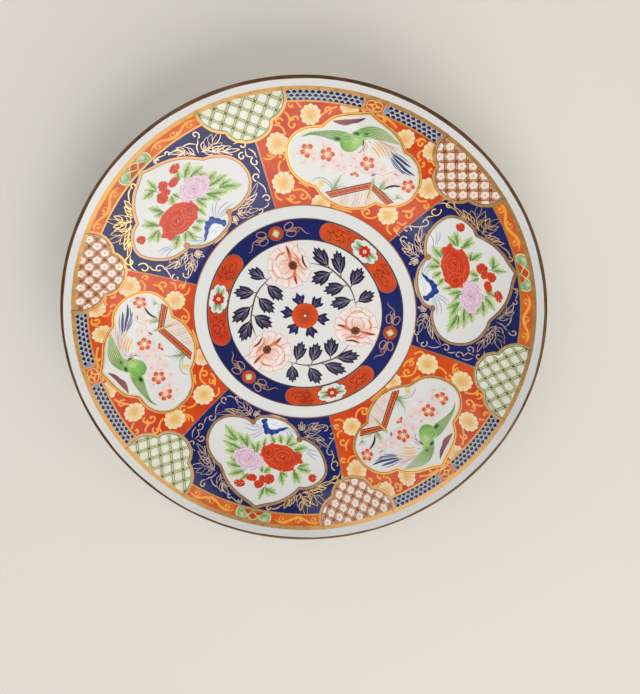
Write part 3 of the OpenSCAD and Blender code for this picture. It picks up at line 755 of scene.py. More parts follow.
G_ = "cobalt_panel_scrollwork"
OFF = [grow(PEONY_C, 0.85)] + growl(LB, 0.55)
GC = lin((222, 194, 168))
# the next gold is the same gilding painted brighter and yellower: a painted highlight on the scrollwork at each cobalt
# panel's upper left
GOLD_PAINTED_HIGHLIGHT = lin((252, 208, 128))
# leaves at the panel's upper left take the brighter gold, a painted highlight; the rest take the plain gilding colour
for b, t_, w_, bd, nv in (
        # upper left
        ((-24.8, 104.4), (-20.0, 113.8), 5.2, -0.10, 3), ((-27.0, 104.0), (-33.6, 113.4), 7.0, 0.08, 3), ((-29.0, 102.6), (-43.6, 105.6), 7.4, 0.10, 3), ((-32.0, 100.4), (-43.6, 92.6), 4.8, 0.02, 3),
        # upper right
        ((22.2, 104.6), (14.2, 113.8), 5.2, -0.08, 3), ((26.2, 103.2), (40.4, 103.8), 7.2, -0.10, 3), ((29.0, 100.4), (40.6, 90.8), 4.8, -0.03, 3),
        # lower left
        ((-20.6, 72.2), (-36.8, 74.6), 4.8, 0.08, 3), ((-17.8, 69.0), (-16.2, 63.8), 3.4, -0.02, 2), ((-19.6, 69.8), (-31.0, 61.8), 5.4, 0.04, 3),
        # lower right
        ((17.2, 70.0), (34.2, 72.2), 4.6, -0.08, 3), ((11.4, 68.4), (9.6, 63.8), 3.2, 0.02, 2), ((14.2, 68.0), (24.6, 61.8), 5.2, -0.04, 3)):
    acanthus(G_, b, t_, w_, bd, GOLD_PAINTED_HIGHLIGHT if (b[0] < -20 and b[1] > 90) else GC, 0.11, B_AT, nv)
# C scrolls that link the leaf groups; those at the panel's upper left are in the brighter gold, a painted highlight
for c_, r_, st, sw, sq in (((-44.8, 90.2), 2.7, 60, 300, 1.0), ((-43.2, 82.6), 3.2, 100, -290, 1.0), ((-38.2, 76.4), 2.6, -40, 290, 1.0),
                       ((-20.6, 110.6), 1.9, 30, 260, 1.0), ((-10.6, 115.4), 1.6, 200, -240, 1.0), ((6.4, 115.6), 1.6, -20, 240, 1.0),
                       ((13.6, 114.2), 1.5, 160, -240, 1.0), ((30.4, 111.0), 2.1, -100, 300, 1.0), ((43.0, 91.4), 2.6, 110, -290, 1.0),
                       ((38.6, 87.4), 2.2, 30, 300, 1.0), ((41.4, 80.8), 2.5, 70, 280, 1.0), ((36.2, 74.6), 2.5, 220, -290, 1.0),
                       ((-30.6, 63.2), 2.3, 100, 280, 1.0), ((-36.0, 66.4), 2.4, 60, 280, 1.0), ((24.4, 60.4), 2.1, 200, 260, 0.8), ((31.6, 62.6), 2.4, 120, -290, 1.0)):
    curl(c_, r_, st, sw, 0.6, G_, GOLD_PAINTED_HIGHLIGHT if (c_[0] < -10 and c_[1] > 80) else GC, 0.115, B_AT, squash=sq)
# linking strokes that start at the panel's upper left are also in the brighter gold, a painted highlight
for P_ in ([(-41.9, 92.6), (-46.6, 88.2), (-46.8, 84.2)], [(-40.4, 81.4), (-40.8, 78.4), (-39.6, 76.8)], [(-35.8, 75.2), (-36.6, 71.0), (-38.2, 67.2)],
           [(-19.0, 111.6), (-15.8, 114.6), (-12.2, 115.8)], [(5.0, 114.6), (8.0, 116.4), (12.2, 114.8)], [(15.0, 113.6), (18.0, 112.6), (20.4, 110.4)],
           [(29.6, 109.0), (28.2, 107.6), (26.0, 106.6), (24.2, 103.8)], [(27.2, 107.4), (24.6, 110.4), (20.6, 111.8)], [(40.0, 95.0), (43.8, 93.4), (45.2, 90.6)], [(42.6, 89.0), (40.6, 86.0), (42.4, 83.2)],
           [(39.4, 79.4), (39.4, 76.6), (38.6, 74.8)], [(34.6, 72.6), (35.0, 68.0), (33.4, 64.6)], [(-33.0, 62.0), (-35.4, 60.4), (-38.0, 61.0)], [(26.0, 60.2), (29.0, 59.6), (31.0, 60.4)],
           [(43.8, 88.2), (44.6, 84.8), (43.4, 81.6)], [(-47.6, 92.6), (-49.2, 89.4), (-47.8, 86.6)], [(-8, 65.0), (-2, 64.6), (4, 64.8)]):
    line(G_, P_, 0.6, GOLD_PAINTED_HIGHLIGHT if (P_[0][0] < -10 and P_[0][1] > 80) else GC, 0.11, B_AT, "both")

# --- the flowers in the reserve
PL = "peony_leaves"
for p, q, w_, bd, lb in (((-5.2, 106.2), (-3.8, 113.2), 3.4, 0.05, 1), ((-6.6, 106.4), (-14.0, 107.6), 3.6, -0.1, 2), ((-6.0, 106.0), (-9.4, 110.4), 3.0, 0.0, 1),
                         ((-12.4, 96.8), (-16.0, 103.0), 4.0, 0.06, 2), ((-12.0, 96.0), (-17.6, 97.6), 4.0, 0.0, 2), ((-19.6, 93.6), (-25.6, 99.2), 4.8, 0.08, 2),
                         ((-20.4, 92.4), (-22.6, 100.4), 3.6, 0.0, 1), ((-21.4, 91.0), (-30.4, 90.4), 4.2, -0.06, 2), ((-22.0, 90.0), (-28.2, 86.8), 3.2, -0.06, 1),
                         ((-3.0, 98.8), (-6.6, 94.4), 3.8, 0.1, 2), ((-1.6, 99.0), (-0.2, 94.4), 3.4, -0.05, 1), ((6.4, 101.4), (10.4, 106.2), 3.6, 0.05, 1),
                         ((9.4, 100.2), (18.0, 104.0), 4.2, 0.08, 2), ((11.6, 98.6), (20.8, 98.0), 4.6, 0.02, 2), ((12.6, 97.6), (19.6, 94.4), 3.8, -0.04, 1),
                         ((14.2, 90.4), (23.8, 91.4), 4.6, 0.06, 2), ((14.0, 89.0), (26.6, 86.4), 4.2, -0.03, 2), ((10.6, 87.0), (13.4, 79.0), 4.2, 0.06, 2),
                         ((11.6, 86.4), (19.6, 79.6), 4.4, -0.06, 2), ((17.6, 84.4), (27.6, 76.8), 4.6, 0.05, 2), ((18.4, 84.8), (26.2, 82.6), 3.6, 0.05, 1),
                         ((4.6, 88.8), (5.0, 81.4), 4.2, 0.04, 2), ((5.6, 88.6), (10.0, 83.2), 3.8, -0.05, 1), ((1.6, 84.6), (1.6, 78.6), 3.2, 0.0, 1),
                         ((-16.6, 81.6), (-24.4, 77.6), 4.4, -0.04, 2), ((-17.0, 82.6), (-22.8, 81.6), 3.4, 0.0, 1), ((-11.8, 80.0), (-13.0, 72.6), 4.6, 0.03, 2),
                         ((-12.8, 80.2), (-18.0, 76.4), 3.6, 0.0, 1), ((-8.4, 80.0), (-5.8, 74.6), 4.0, 0.03, 2), ((-4.6, 80.6), (-0.6, 76.6), 3.6, 0.03, 1)):
    soft_leaf(PL, p, q, w_, 0.04, B_AT, bd, lb, dark=lin((88, 132, 64)), light=lin((214, 222, 176)), mid=lin((152, 186, 108)))
for P_ in ([(-31, 92.4), (-27, 91.4), (-22, 89.6)], [(10, 105.8), (9.6, 103), (8.4, 99)], [(-5.4, 99), (-6, 104), (-5, 108)], [(14, 90), (12, 92), (10, 92)], [(18, 84), (14, 87), (11, 89)]):
    line(PL, P_, 0.36, lin((96, 120, 70)), 0.03, B_AT, "both")

RP = "red_peonies"
P0, P1, PE = lin((184, 34, 10)), lin((218, 72, 32)), lin((232, 112, 66))


def peony(name, c, rx, ry, c_in, c_out, c_edge, h, at, rings=((9, 1.0, 26, 8), (8, 0.72, 29, 30), (6, 0.46, 38, 5), (4, 0.25, 52, 20)), lw=0.26, seed=1, dark=None, ragged=0.1):
    """a full flower: rings of ruffled petals, each ring a little off centre so that no two match."""
    g = random.Random(seed)
    sy = ry / rx
    hh = h
    dark = c_in * 0.86 if dark is None else dark
    for n_, (k, R1, hw, off) in enumerate(rings):
        ctr = A(c)[0] + np.array([g.uniform(-1, 1), g.uniform(-1, 1) * sy]) * rx * 0.05 * n_
        for i in range(k):
            a = 360 * i / k + off + g.uniform(-9, 9)
            rr = rx * R1 * g.uniform(1 - ragged, 1 + ragged * 0.4)
            w_ = hw * g.uniform(0.85, 1.15)
            P_ = petal(ctr, a, rr, w_, 1, sy, 0.1, 0.04 + 0.08 * g.random(), g.uniform(0.015, 0.035), g.uniform(-0.12, 0.12))
            hh += 0.0016
            mixc = g.uniform(0.0, 0.22)
            fill(name, P_, radial(ctr, rr, c_in, c_out * (1 - mixc) + c_in * mixc, 1.3, rr * sy), hh, at, step=max(0.8, rr / 10))
            line(name, P_[6:23] if len(P_) > 24 else P_, lw, c_edge, hh + 0.004, at, "both", smooth=1)
            for s_ in (-0.45, -0.1, 0.3):
                b_ = math.radians(a + s_ * w_)
                u = np.array([math.sin(b_), math.cos(b_) * sy])
                line(name, [ctr + u * rr * g.uniform(0.42, 0.56), ctr + u * rr * 0.72, ctr + u * rr * g.uniform(0.8, 0.92)], lw * 0.85, dark, hh + 0.003, at, "both", smooth=1)
        hh += 0.010
    return hh


peony(RP, (-10.4, 87.4), 12.6, 8.4, P0, P1, PE, 0.10, B_AT, rings=((9, 1.0, 27, 8), (7, 0.72, 34, 30), (4, 0.44, 50, 5), (3, 0.24, 60, 20)), seed=3, ragged=0.2)
peony(RP, (-2.2, 87.0), 4.4, 4.8, P0, P1, PE, 0.135, B_AT, rings=((6, 1.0, 36, 0), (4, 0.5, 50, 30)), seed=33)
for c_, rx_, ry_, sd in (((-6.8, 101.0), 3.7, 3.0, 5), ((-1.4, 105.4), 3.4, 2.6, 6), ((3.6, 103.0), 3.4, 2.2, 7), ((-3.2, 102.4), 3.0, 2.4, 8)):
    fill(RP, oval(c_, rx_ * 0.72, ry_ * 0.72, 0, 16), P1, 0.115, B_AT, step=1.5)
    peony(RP, c_, rx_, ry_, P0, P1, PE, 0.12, B_AT, rings=((5, 1.0, 42, 10), (3, 0.5, 62, 40)), lw=0.18, seed=sd, ragged=0.24)
peony(RP, (10.2, 107.0), 3.7, 2.0, P0, P1, PE, 0.12, B_AT, rings=((5, 1.0, 42, 0), (3, 0.5, 62, 40)), lw=0.18, seed=9, ragged=0.24)
peony(RP, (-32.0, 94.0), 2.9, 2.6, P0, P1, PE, 0.12, B_AT, rings=((5, 1.0, 44, 0), (3, 0.5, 62, 40)), lw=0.18, seed=10, ragged=0.2)
peony("lilac_peonies", (8.7, 93.4), 9.4, 7.0, lin((218, 178, 202)), lin((236, 216, 228)), lin((196, 146, 178)), 0.10, B_AT,
      rings=((8, 1.0, 27, 4), (6, 0.66, 36, 26), (3, 0.34, 60, 5)), lw=0.3, seed=12, dark=lin((196, 150, 176)), ragged=0.16)
dot("lilac_peonies", (8.0, 93.4), 0.6, lin((214, 140, 150)), 0.22, B_AT)

# rocks, water and grasses
RK = [(-10.4, 69.6), (-8.8, 70.6), (-7.4, 72.2), (-5.6, 73.0), (-4.4, 74.8), (-2.6, 75.6), (-1.4, 76.8), (0.4, 76.2), (2.2, 77.0), (3.6, 76.2), (4.0, 74.6), (5.4, 73.0),
      (5.6, 71.4), (7.0, 70.2), (6.4, 68.6), (5.0, 67.8), (3.6, 68.0), (3.8, 69.6), (2.8, 71.0), (1.8, 72.6), (0.2, 73.4), (-1.6, 73.0), (-3.4, 72.6), (-4.6, 71.4), (-6.4, 70.8), (-8.0, 69.8)]
fill("garden_rocks", run(RK, 3, True), blend2(lin((22, 44, 128)), lin((44, 84, 172)), lambda p: 0.5 + 0.5 * np.sin(p[:, 0] * 1.6 + p[:, 1])), 0.12, B_AT, step=1.2)
fill("blue_grasses", run([(-7.5, 68.6), (-4.6, 70.6), (-1.6, 72.4), (0.6, 72.6), (2.2, 71.0), (3.0, 69.0), (1.0, 67.2), (-3.0, 67.0)], 3, True), lin((236, 240, 244)), 0.05, B_AT, step=1.5)
for P_ in ([(-6.0, 68.8), (-2.6, 70.4), (0.6, 70.0), (2.6, 68.8)], [(-4.4, 68.0), (-1.6, 69.0), (1.6, 68.2)]):
    line("blue_grasses", P_, 0.26, lin((170, 188, 220)), 0.08, B_AT, "both")
GR = lin((160, 172, 204))
for P_ in ([(4.6, 74.6), (8.6, 78.6), (13.0, 80.4)], [(5.0, 74.0), (10.0, 76.4), (16.0, 76.0)], [(4.6, 73.4), (10.6, 74.2), (17.0, 73.2)], [(4.0, 75.6), (6.6, 79.0), (9.4, 81.2)],
           [(6.0, 72.6), (10.6, 72.8), (14.0, 71.6)], [(-9.4, 70.4), (-12.6, 72.8), (-15.8, 76.4)], [(-10.2, 69.8), (-13.6, 71.0), (-16.6, 73.6)], [(-8.4, 71.2), (-10.6, 73.8), (-11.8, 76.2)],
           [(-23.6, 79.2), (-28.0, 81.0), (-32.4, 81.0)], [(-22.6, 78.2), (-27.0, 79.0), (-31.4, 78.0)], [(-24.0, 80.4), (-28.0, 82.6), (-31.6, 83.2)]):
    line("blue_grasses", P_, 0.55, GR, 0.06, B_AT, "both")

# ================================================================== iron-red panels with birds
hole = grow(BIRD_C, 0.8)
SR = 60 - SECT
fill("iron_red_panels", wedge(-SR + 0.25, SR - 0.25, 63.7, 117.5, 40), blend2(RED, lin((214, 76, 22)), lambda p: 0.5 + 0.5 * np.sin(p[:, 0] * 0.22 + 1.0) * np.cos(p[:, 1] * 0.19)), H0, R_AT, exc=growl(LR, 0.45) + [hole])
line("bird_cartouche_frames", grow(BIRD_C, 0.55), 0.72, lin((228, 176, 100)), 0.13, R_AT, closed=True, smooth=1)
line("bird_cartouche_frames", grow(BIRD_C, -0.55), 0.62, lin((232, 196, 132)), 0.12, R_AT, closed=True, smooth=1)
line("bird_cartouche_frames", grow(BIRD_C, -0.02), 0.34, lin((150, 96, 46)), 0.11, R_AT, closed=True, smooth=1)

CH = "red_panel_chrysanthemums"
PANEL_R = wedge(-SR + 0.6, SR - 0.6, 64.0, 117.3, 30)
EXR = growl(LR, 0.7) + [grow(BIRD_C, 1.1)]
for k_, (x, y, r_) in enumerate([(-28, 107.6, 5.3), (-10.4, 117.6, 5.2), (21.4, 109.8, 5.0), (36.4, 108.2, 5.0), (-40.4, 88.8, 5.9), (42.4, 89.2, 5.9),
                                 (-32.0, 69.4, 6.2), (27.0, 68.8, 5.7), (-9.6, 64.2, 5.4)]):
    sh = scallop((x, y), r_, r_, 11, 0.13, 8 * k_, 8, 0.06, k_)
    fill(CH, sh, radial((x, y), r_, lin((234, 194, 120)), lin((248, 230, 190)), 1.3), 0.10, R_AT, exc=EXR, clip=[PANEL_R], step=1.8)
    inn = scallop((x, y), r_ * 0.52, r_ * 0.52, 8, 0.12, 10, 5)
    fill(CH, inn, radial((x, y), r_ * 0.52, lin((232, 168, 88)), lin((240, 204, 140))), 0.125, R_AT, exc=EXR, clip=[PANEL_R], step=1.8)
    for i in range(11):
        a = math.radians(360 * (i + 0.0) / 11 + 8 * k_ * -1)
        v = np.array([math.sin(a), math.cos(a)])
        line(CH, [np.array([x, y]) + v * r_ * 0.54, np.array([x, y]) + v * r_ * 0.88], 0.26, lin((226, 166, 98)), 0.13, R_AT, "both", smooth=1, clip=PANEL_R, notin=EXR)

VN = "red_panel_vines"
VC = lin((247, 168, 72))


def vine(P_, w=1.02):
    line(VN, P_, w, VC, 0.09, R_AT, "round", clip=PANEL_R, notin=EXR)


def vcurl(c, r, st, sw, w=0.85):
    n = 14
    t = np.linspace(0, 1, n)
    a = np.radians(st + sw * t)
    rr = r * (1 - 0.66 * t)
    Q = np.stack([c[0] + rr * np.cos(a), c[1] + rr * np.sin(a)], 1)
    line(VN, Q, w, VC, 0.092, R_AT, "round", smooth=2, clip=PANEL_R, notin=EXR)
    if inside(Q[-1:], PANEL_R)[0] and not any(inside(Q[-1:], e)[0] for e in EXR):
        dot(VN, Q[-1], w * 0.85, VC, 0.1, R_AT, n=9)


for P_ in ([(-46.5, 95.6), (-43.6, 97.6), (-40.4, 97.4), (-37.4, 94.4)], [(-45.6, 79.4), (-42.4, 79.6), (-40.0, 82.4), (-39.8, 84.6)], [(-37.6, 102.6), (-34.6, 104.8), (-33.2, 103.4)],
           [(-36.6, 80.6), (-36.8, 77.2), (-35.4, 74.4)], [(-26.6, 66.6), (-22.4, 68.6), (-18.4, 67.6), (-15.6, 65.0)], [(-40.4, 112.0), (-36.4, 111.4), (-33.4, 109.4)], [(-23.0, 108.6), (-20.0, 112.4), (-16.4, 115.2)],
           [(-4.6, 117.0), (2.4, 116.9), (9.6, 116.6), (15.4, 113.9)], [(26.4, 110.2), (28.8, 112.6), (31.6, 111.6)], [(31.4, 107.0), (30.4, 104.6), (31.8, 102.6)], [(43.8, 101.6), (42.0, 98.6), (42.4, 95.2)],
           [(36.6, 86.4), (37.2, 83.4), (40.4, 81.4), (44.0, 82.6)], [(33.4, 73.4), (37.2, 74.0), (39.4, 77.4)], [(32.8, 66.8), (36.0, 66.0), (38.0, 68.2)], [(28.6, 63.4), (29.6, 60.6), (32.4, 59.0)],
           [(21.8, 66.2), (18.4, 64.2), (14.8, 64.6), (12.4, 67.4)], [(-4.0, 64.6), (2.0, 64.3), (8.0, 64.8)], [(-35.0, 64.0), (-33.8, 61.0), (-30.2, 60.0)], [(-28.6, 62.0), (-24.4, 60.6), (-20.4, 62.0)],
           [(-31.4, 75.6), (-29.4, 77.4), (-28.0, 76.4)], [(-24.4, 72.0), (-21.6, 71.8), (-18.4, 71.0)], [(36.0, 102.6), (38.4, 103.0), (40.6, 101.4)], [(-42.6, 105.4), (-39.4, 104.6), (-37.4, 102.0)]):
    vine(P_)
for c_, r_, st, sw in (((-35.4, 100.2), 2.7, 80, 300), ((-20.0, 65.6), 2.4, 60, -290), ((-20.6, 112.2), 2.2, -60, 290), ((37.4, 72.0), 2.8, 150, -300), ((34.2, 100.4), 2.5, 120, 290),
                     ((40.0, 98.6), 2.2, 60, -290), ((38.6, 85.4), 2.5, 250, -300), ((15.8, 66.9), 2.2, 200, -280), ((29.6, 110.0), 1.9, 100, 280), ((-42.6, 99.6), 2.2, 20, 280), ((-36.8, 83.0), 2.3, -60, 290),
                     ((8.4, 115.9), 1.4, 0, 270), ((2.4, 115.6), 1.3, 180, -270), ((-27.0, 77.0), 1.8, 170, -280), ((33.6, 62.6), 2.0, 100, -290), ((-38.6, 109.4), 2.0, 40, 290), ((43.6, 104.6), 2.0, 200, 280),
                     ((-25.6, 62.6), 1.9, 10, 290), ((-42.6, 82.6), 1.7, 200, 280), ((44.4, 79.6), 1.8, 90, -280)):
    vcurl(c_, r_, st, sw, 0.95)

# --- the bird
BG = "green_birds"
WC0, WC1 = lin((146, 194, 100)), lin((216, 226, 186))
wing_l = run([(-30.0, 95.4), (-27.4, 98.4), (-23.6, 100.4), (-19.0, 102.0), (-14.0, 103.6), (-9.6, 104.4), (-6.2, 104.2), (-3.6, 102.8), (-6.4, 99.0), (-9.8, 98.6), (-13.6, 98.4), (-19.0, 98.6), (-24.6, 97.8)], 4, True)
fill(BG, wing_l, blend2(WC1, WC0, lambda p: (p[:, 0] + 29) / 19), 0.06, R_AT, step=1.4)
wing_r = run([(-4.4, 103.6), (-3.8, 106.2), (-1.2, 108.8), (2.4, 110.8), (6.4, 111.4), (10.6, 110.9), (15.0, 109.2), (18.6, 107.4), (20.8, 106.0), (15.0, 105.9), (9.4, 105.2), (4.4, 104.6), (0.6, 102.6)], 4, True)
fill(BG, wing_r, blend2(lin((138, 190, 92)), lin((214, 224, 180)), lambda p: (p[:, 0] + 4) / 19), 0.072, R_AT, step=1.4)
body = run([(-9.6, 100.4), (-9.5, 98.0), (-8.0, 96.0), (-5.4, 95.0), (-2.8, 95.4), (-0.6, 96.9), (0.8, 99.0), (1.8, 101.4), (2.2, 103.6), (1.2, 105.6), (-1.4, 106.4), (-4.2, 105.2), (-6.8, 103.4), (-8.8, 102.2)], 4, True)
fill(BG, body, blend2(lin((118, 178, 72)), lin((158, 200, 112)), lambda p: np.clip(((p[:, 0] + 8.5) * 0.55 + (p[:, 1] - 96.0) * 0.55) / 8.0, 0, 1)), 0.085, R_AT, step=1.1)
LW = "bird_linework"
LG = lin((74, 112, 52))
for k in range(6):
    f_ = k / 5
    line(LW, [(-8.4 - f_ * 2.4, 103.9 - 4.6 * f_), (-14.4, 103.2 - 4.2 * f_), (-20.6, 101.0 - 2.2 * f_), (-25.4, 98.9 - 0.9 * f_), (-29.2 + 0.6 * f_, 96.0 - 0.1 * f_)], 0.36, LG * 0.92 + WC1 * 0.08, 0.10, R_AT, "end")
for k in range(7):
    f_ = k / 6
    line(LW, [(-2.0 + f_ * 3.6, 107.4 - 2.4 * f_), (2.6 + f_ * 1.4, 110.2 - 4.4 * f_), (8.0, 111.0 - 5.2 * f_), (13.4, 109.5 - 3.4 * f_), (19.4, 106.8 - 0.6 * f_)], 0.36, LG * 0.92 + WC1 * 0.08, 0.11, R_AT, "end")
for i in range(12):
    x = 1.2 + i * 1.35
    line(LW, [(x, 110.4 - 0.022 * (x - 6) ** 2), (x + 0.8, 108.2 - 0.1 * i), (x + 0.9, 105.9 - 0.02 * i)], 0.17, LG * 0.6 + WC1 * 0.4, 0.115, R_AT, "both", smooth=2)
for i in range(8):
    x = -13.2 - i * 1.7
    line(LW, [(x, 102.9 - 0.42 * i), (x - 0.4, 101.2 - 0.22 * i), (x, 99.0 - 0.06 * i)], 0.15, LG * 0.5 + WC1 * 0.5, 0.115, R_AT, "both", smooth=2)
for c_, rx_, ry_, dg in (((-11.4, 99.9), 1.75, 0.95, 16), ((-2.7, 105.3), 1.5, 0.8, 14), ((2.0, 106.5), 1.1, 0.5, -8)):
    fill(LW, oval(c_, rx_ * 1.5, ry_ * 1.55, dg, 16), radial(c_, rx_ * 1.5, lin((60, 108, 52)), lin((128, 176, 98)), 1.6, ry_ * 1.55), 0.12, R_AT, step=1.1)
    fill(LW, oval(c_, rx_ * 0.86, ry_ * 0.86, dg, 14), radial(c_, rx_, lin((18, 36, 20)), lin((46, 86, 40))), 0.13, R_AT, step=1.1)
for i in range(15):
    a_ = math.radians(196 + i * 9.5)
    ex, ey = -4.4 + 5.0 * math.cos(a_), 99.2 + 4.2 * math.sin(a_)
    line(LW, [(ex, ey), (ex + 0.5, ey + 0.75), (ex + 1.3, ey + 1.1)], 0.26, lin((84, 146, 60)), 0.122, R_AT, "both", smooth=2, clip=body)
for i in range(18):
    x, y = -7.2 + (i % 6) * 1.4, 98.6 + (i // 6) * 1.7 + 0.35 * (i % 2)
    line(LW, [(x, y), (x + 0.5, y - 0.4), (x + 1.1, y)], 0.18, lin((116, 168, 84)) if i % 3 else lin((204, 222, 166)), 0.122, R_AT, "both", smooth=2, clip=body)
line(LW, [(-9.3, 97.6), (-8.0, 96.1), (-5.4, 95.1), (-2.8, 95.5)], 0.26, lin((92, 150, 66)), 0.12, R_AT, "both")
fill(LW, oval((-1.6, 101.6), 2.6, 2.0, 30, 18), radial((-1.6, 101.6), 2.6, lin((186, 214, 142)), lin((156, 200, 112)), 1.2), 0.10, R_AT, clip=[grow(body, -0.3)], step=1.1)
for i in range(16):
    a_ = math.radians(100 + i * 21)
    qx, qy = -4.0 + 3.4 * math.cos(a_) * (1 + 0.3 * (i % 2)), 100.6 + 3.6 * math.sin(a_) * (1 + 0.2 * (i % 3))
    line(LW, [(qx, qy), (qx + 0.8, qy + 0.25), (qx + 1.5, qy + 0.1)], 0.24, lin((96, 152, 66)) if i % 2 else lin((138, 186, 100)), 0.124, R_AT, "both", smooth=2, clip=grow(body, 0.6))
for P_ in ([(-9.2, 101.6), (-6.6, 102.6), (-4.4, 103.0)], [(-9.0, 100.6), (-6.8, 101.0), (-5.0, 101.8)], [(0.2, 104.8), (2.2, 105.4), (4.6, 105.9)], [(-1.2, 105.6), (1.0, 106.6), (3.8, 107.2)]):
    line(LW, P_, 0.3, LG * 0.8 + WC0 * 0.2, 0.124, R_AT, "both")
for P_, w_, c_ in (([(1.5, 103.4), (2.1, 101.6), (2.2, 99.8)], 0.95, (120, 62, 50)), ([(2.6, 102.6), (3.3, 100.8), (3.0, 98.8), (1.6, 96.2)], 0.5, (176, 112, 96)), ([(3.8, 102.0), (4.6, 100.2), (4.2, 98.2)], 0.4, (206, 150, 124)),
                   ([(2.6, 99.0), (4.0, 97.4)], 0.5, (190, 110, 90)), ([(0.6, 95.8), (2.6, 96.8)], 0.4, (190, 150, 160)), ([(4.4, 103.6), (5.8, 102.6)], 0.5, (120, 140, 110))):
    line(LW, P_, w_, lin(c_), 0.12, R_AT, "both")
# neck and tail feathers: separate brush strokes with the white between them
TF = "bird_tail_feathers"
for P_, w_, c_ in (([(6.2, 101.4), (9.0, 100.0), (12.8, 97.0)], 0.85, (240, 170, 78)), ([(6.4, 102.8), (10.2, 101.2), (14.6, 97.6)], 0.9, (244, 186, 98)), ([(7.0, 104.0), (11.0, 102.4), (15.6, 98.6)], 0.6, (232, 160, 84)),
                   ([(6.0, 100.0), (8.2, 98.8), (10.4, 97.4)], 0.4, (240, 206, 150)), ([(8.4, 104.8), (13.6, 102.4), (17.4, 98.6), (20.4, 95.4)], 0.62, (232, 192, 136)), ([(9.6, 104.6), (14.8, 101.6), (18.2, 97.4)], 0.4, (220, 178, 128)),
                   ([(8.8, 105.2), (14.0, 104.2), (20.0, 102.8)], 0.75, (230, 168, 140)), ([(10.0, 104.6), (15.6, 103.4), (21.6, 101.2)], 0.55, (222, 190, 176)), ([(12.0, 103.4), (17.0, 101.8), (22.0, 99.2)], 0.5, (204, 190, 186)),
                   ([(13.0, 102.2), (18.4, 99.6), (22.4, 96.4)], 0.45, (226, 200, 164)), ([(14.4, 104.6), (19.0, 104.0), (23.4, 102.6)], 0.4, (222, 184, 170))):
    line(TF, P_, w_, lin(c_), 0.07, R_AT, "both")
for P_, w_, c_ in (([(17.4, 101.0), (22.4, 99.4), (26.4, 97.9), (29.6, 96.9)], 1.35, (66, 70, 118)), ([(18.2, 99.8), (23.0, 97.2), (27.6, 94.9), (33.0, 93.2)], 1.45, (52, 54, 104)),
                   ([(18.0, 98.6), (21.6, 96.2), (24.8, 94.0), (27.6, 92.4)], 1.2, (76, 80, 130)), ([(18.8, 97.2), (21.4, 95.0), (23.8, 93.2)], 0.55, (132, 136, 168)),
                   ([(19.0, 101.6), (23.8, 100.6), (28.4, 98.8)], 0.55, (132, 134, 166)), ([(24.0, 94.6), (27.4, 93.4), (31.0, 92.8)], 0.5, (60, 62, 108)), ([(16.4, 101.8), (18.8, 100.6)], 0.6, (150, 154, 182))):
    line(TF, P_, w_, lin(c_), 0.10, R_AT, "both")
for P_ in ([(18.4, 100.1), (23.4, 98.3), (28.4, 96.4)], [(18.8, 98.9), (23.2, 96.4), (27.6, 93.9)], [(19.4, 97.9), (23.0, 95.3), (26.2, 93.1)]):
    line(LW, P_, 0.2, lin((206, 208, 224)), 0.14, R_AT, "both")

# plum strip of distant hill
fill("blossom_washes", run([(-16.4, 107.7), (-12.6, 107.2), (-9.2, 107.6), (-6.6, 109.3), (-3.6, 110.8), (-0.8, 113.9), (-3.6, 112.9), (-7.0, 111.5), (-10.6, 110.3), (-13.8, 109.0)], 4, True),
     blend2(lin((150, 84, 80)), lin((120, 60, 66)), lambda p: (p[:, 0] + 16) / 15), 0.06, R_AT, step=1.6)
# pale blossoms behind
BW = "blossom_washes"
g = random.Random(31)
for c_, rx_, ry_ in (((-7.4, 86.4), 6.6, 4.6), ((1.6, 91.4), 6.4, 4.2), ((-19.4, 87.2), 5.6, 3.6), ((14.8, 91.2), 6.0, 3.8), ((22.6, 88.6), 4.4, 3.2), ((-12.6, 94.6), 5.0, 2.6)):
    fill(BW, scallop(c_, rx_, ry_, 7, 0.12, 20, 5), radial(c_, rx_, lin((238, 206, 198)), lin((231, 229, 226)), 0.9, ry_), 0.026, R_AT, step=1.6)
for c_, rx_, ry_ in (((-27.6, 84.4), 3.0, 2.2), ((-18.6, 93.6), 2.6, 1.8), ((7.6, 98.6), 2.4, 1.8), ((17.0, 84.6), 2.4, 1.8), ((-25.0, 93.8), 2.4, 1.4)):
    fill(BW, oval(c_, rx_, ry_, 10, 18), radial(c_, rx_, lin((206, 226, 216)), lin((229, 231, 228)), 0.9, ry_), 0.03, R_AT, step=1.4)
for x, y, r_ in ((-20.4, 86.4, 3.0), (-17.2, 94.4, 2.6), (-10.0, 88.0, 3.2), (-6.6, 92.6, 2.4), (-3.6, 86.8, 2.8), (0.2, 92.4, 3.3), (2.6, 88.4, 2.8), (11.6, 88.4, 2.6), (15.6, 91.4, 3.2), (20.4, 86.8, 2.8),
                 (24.6, 90.8, 2.4), (-29.0, 86.4, 2.2), (4.2, 96.2, 2.2), (-24.6, 83.2, 2.2), (27.4, 86.0, 2.2), (-14.2, 84.0, 2.0)):
    sh = scallop((x, y), r_, r_ * 0.92, 5, 0.2, g.uniform(0, 70), 6)
    fill(BW, sh, radial((x, y), r_, lin((238, 200, 192)), lin((231, 224, 221)), 0.8), 0.035, R_AT, step=1.4)
    line(BW, sh, 0.14, lin((234, 208, 202)), 0.05, R_AT, closed=True, smooth=1)
    dot(BW, (x, y), 0.5, lin((232, 160, 140)), 0.06, R_AT, n=7)
for P_ in ([(-31.0, 88.6), (-24, 86), (-16, 88), (-8, 86.4), (0, 88.6), (8, 87), (16, 88.4), (24, 86.6), (31, 84.6)], [(-18, 88), (-14, 94), (-13, 96)], [(2, 88.4), (6, 95), (9, 97)], [(17, 88), (22, 92), (26, 92.6)]):
    line(BW, P_, 0.32, lin((196, 176, 170)), 0.03, R_AT, "both")
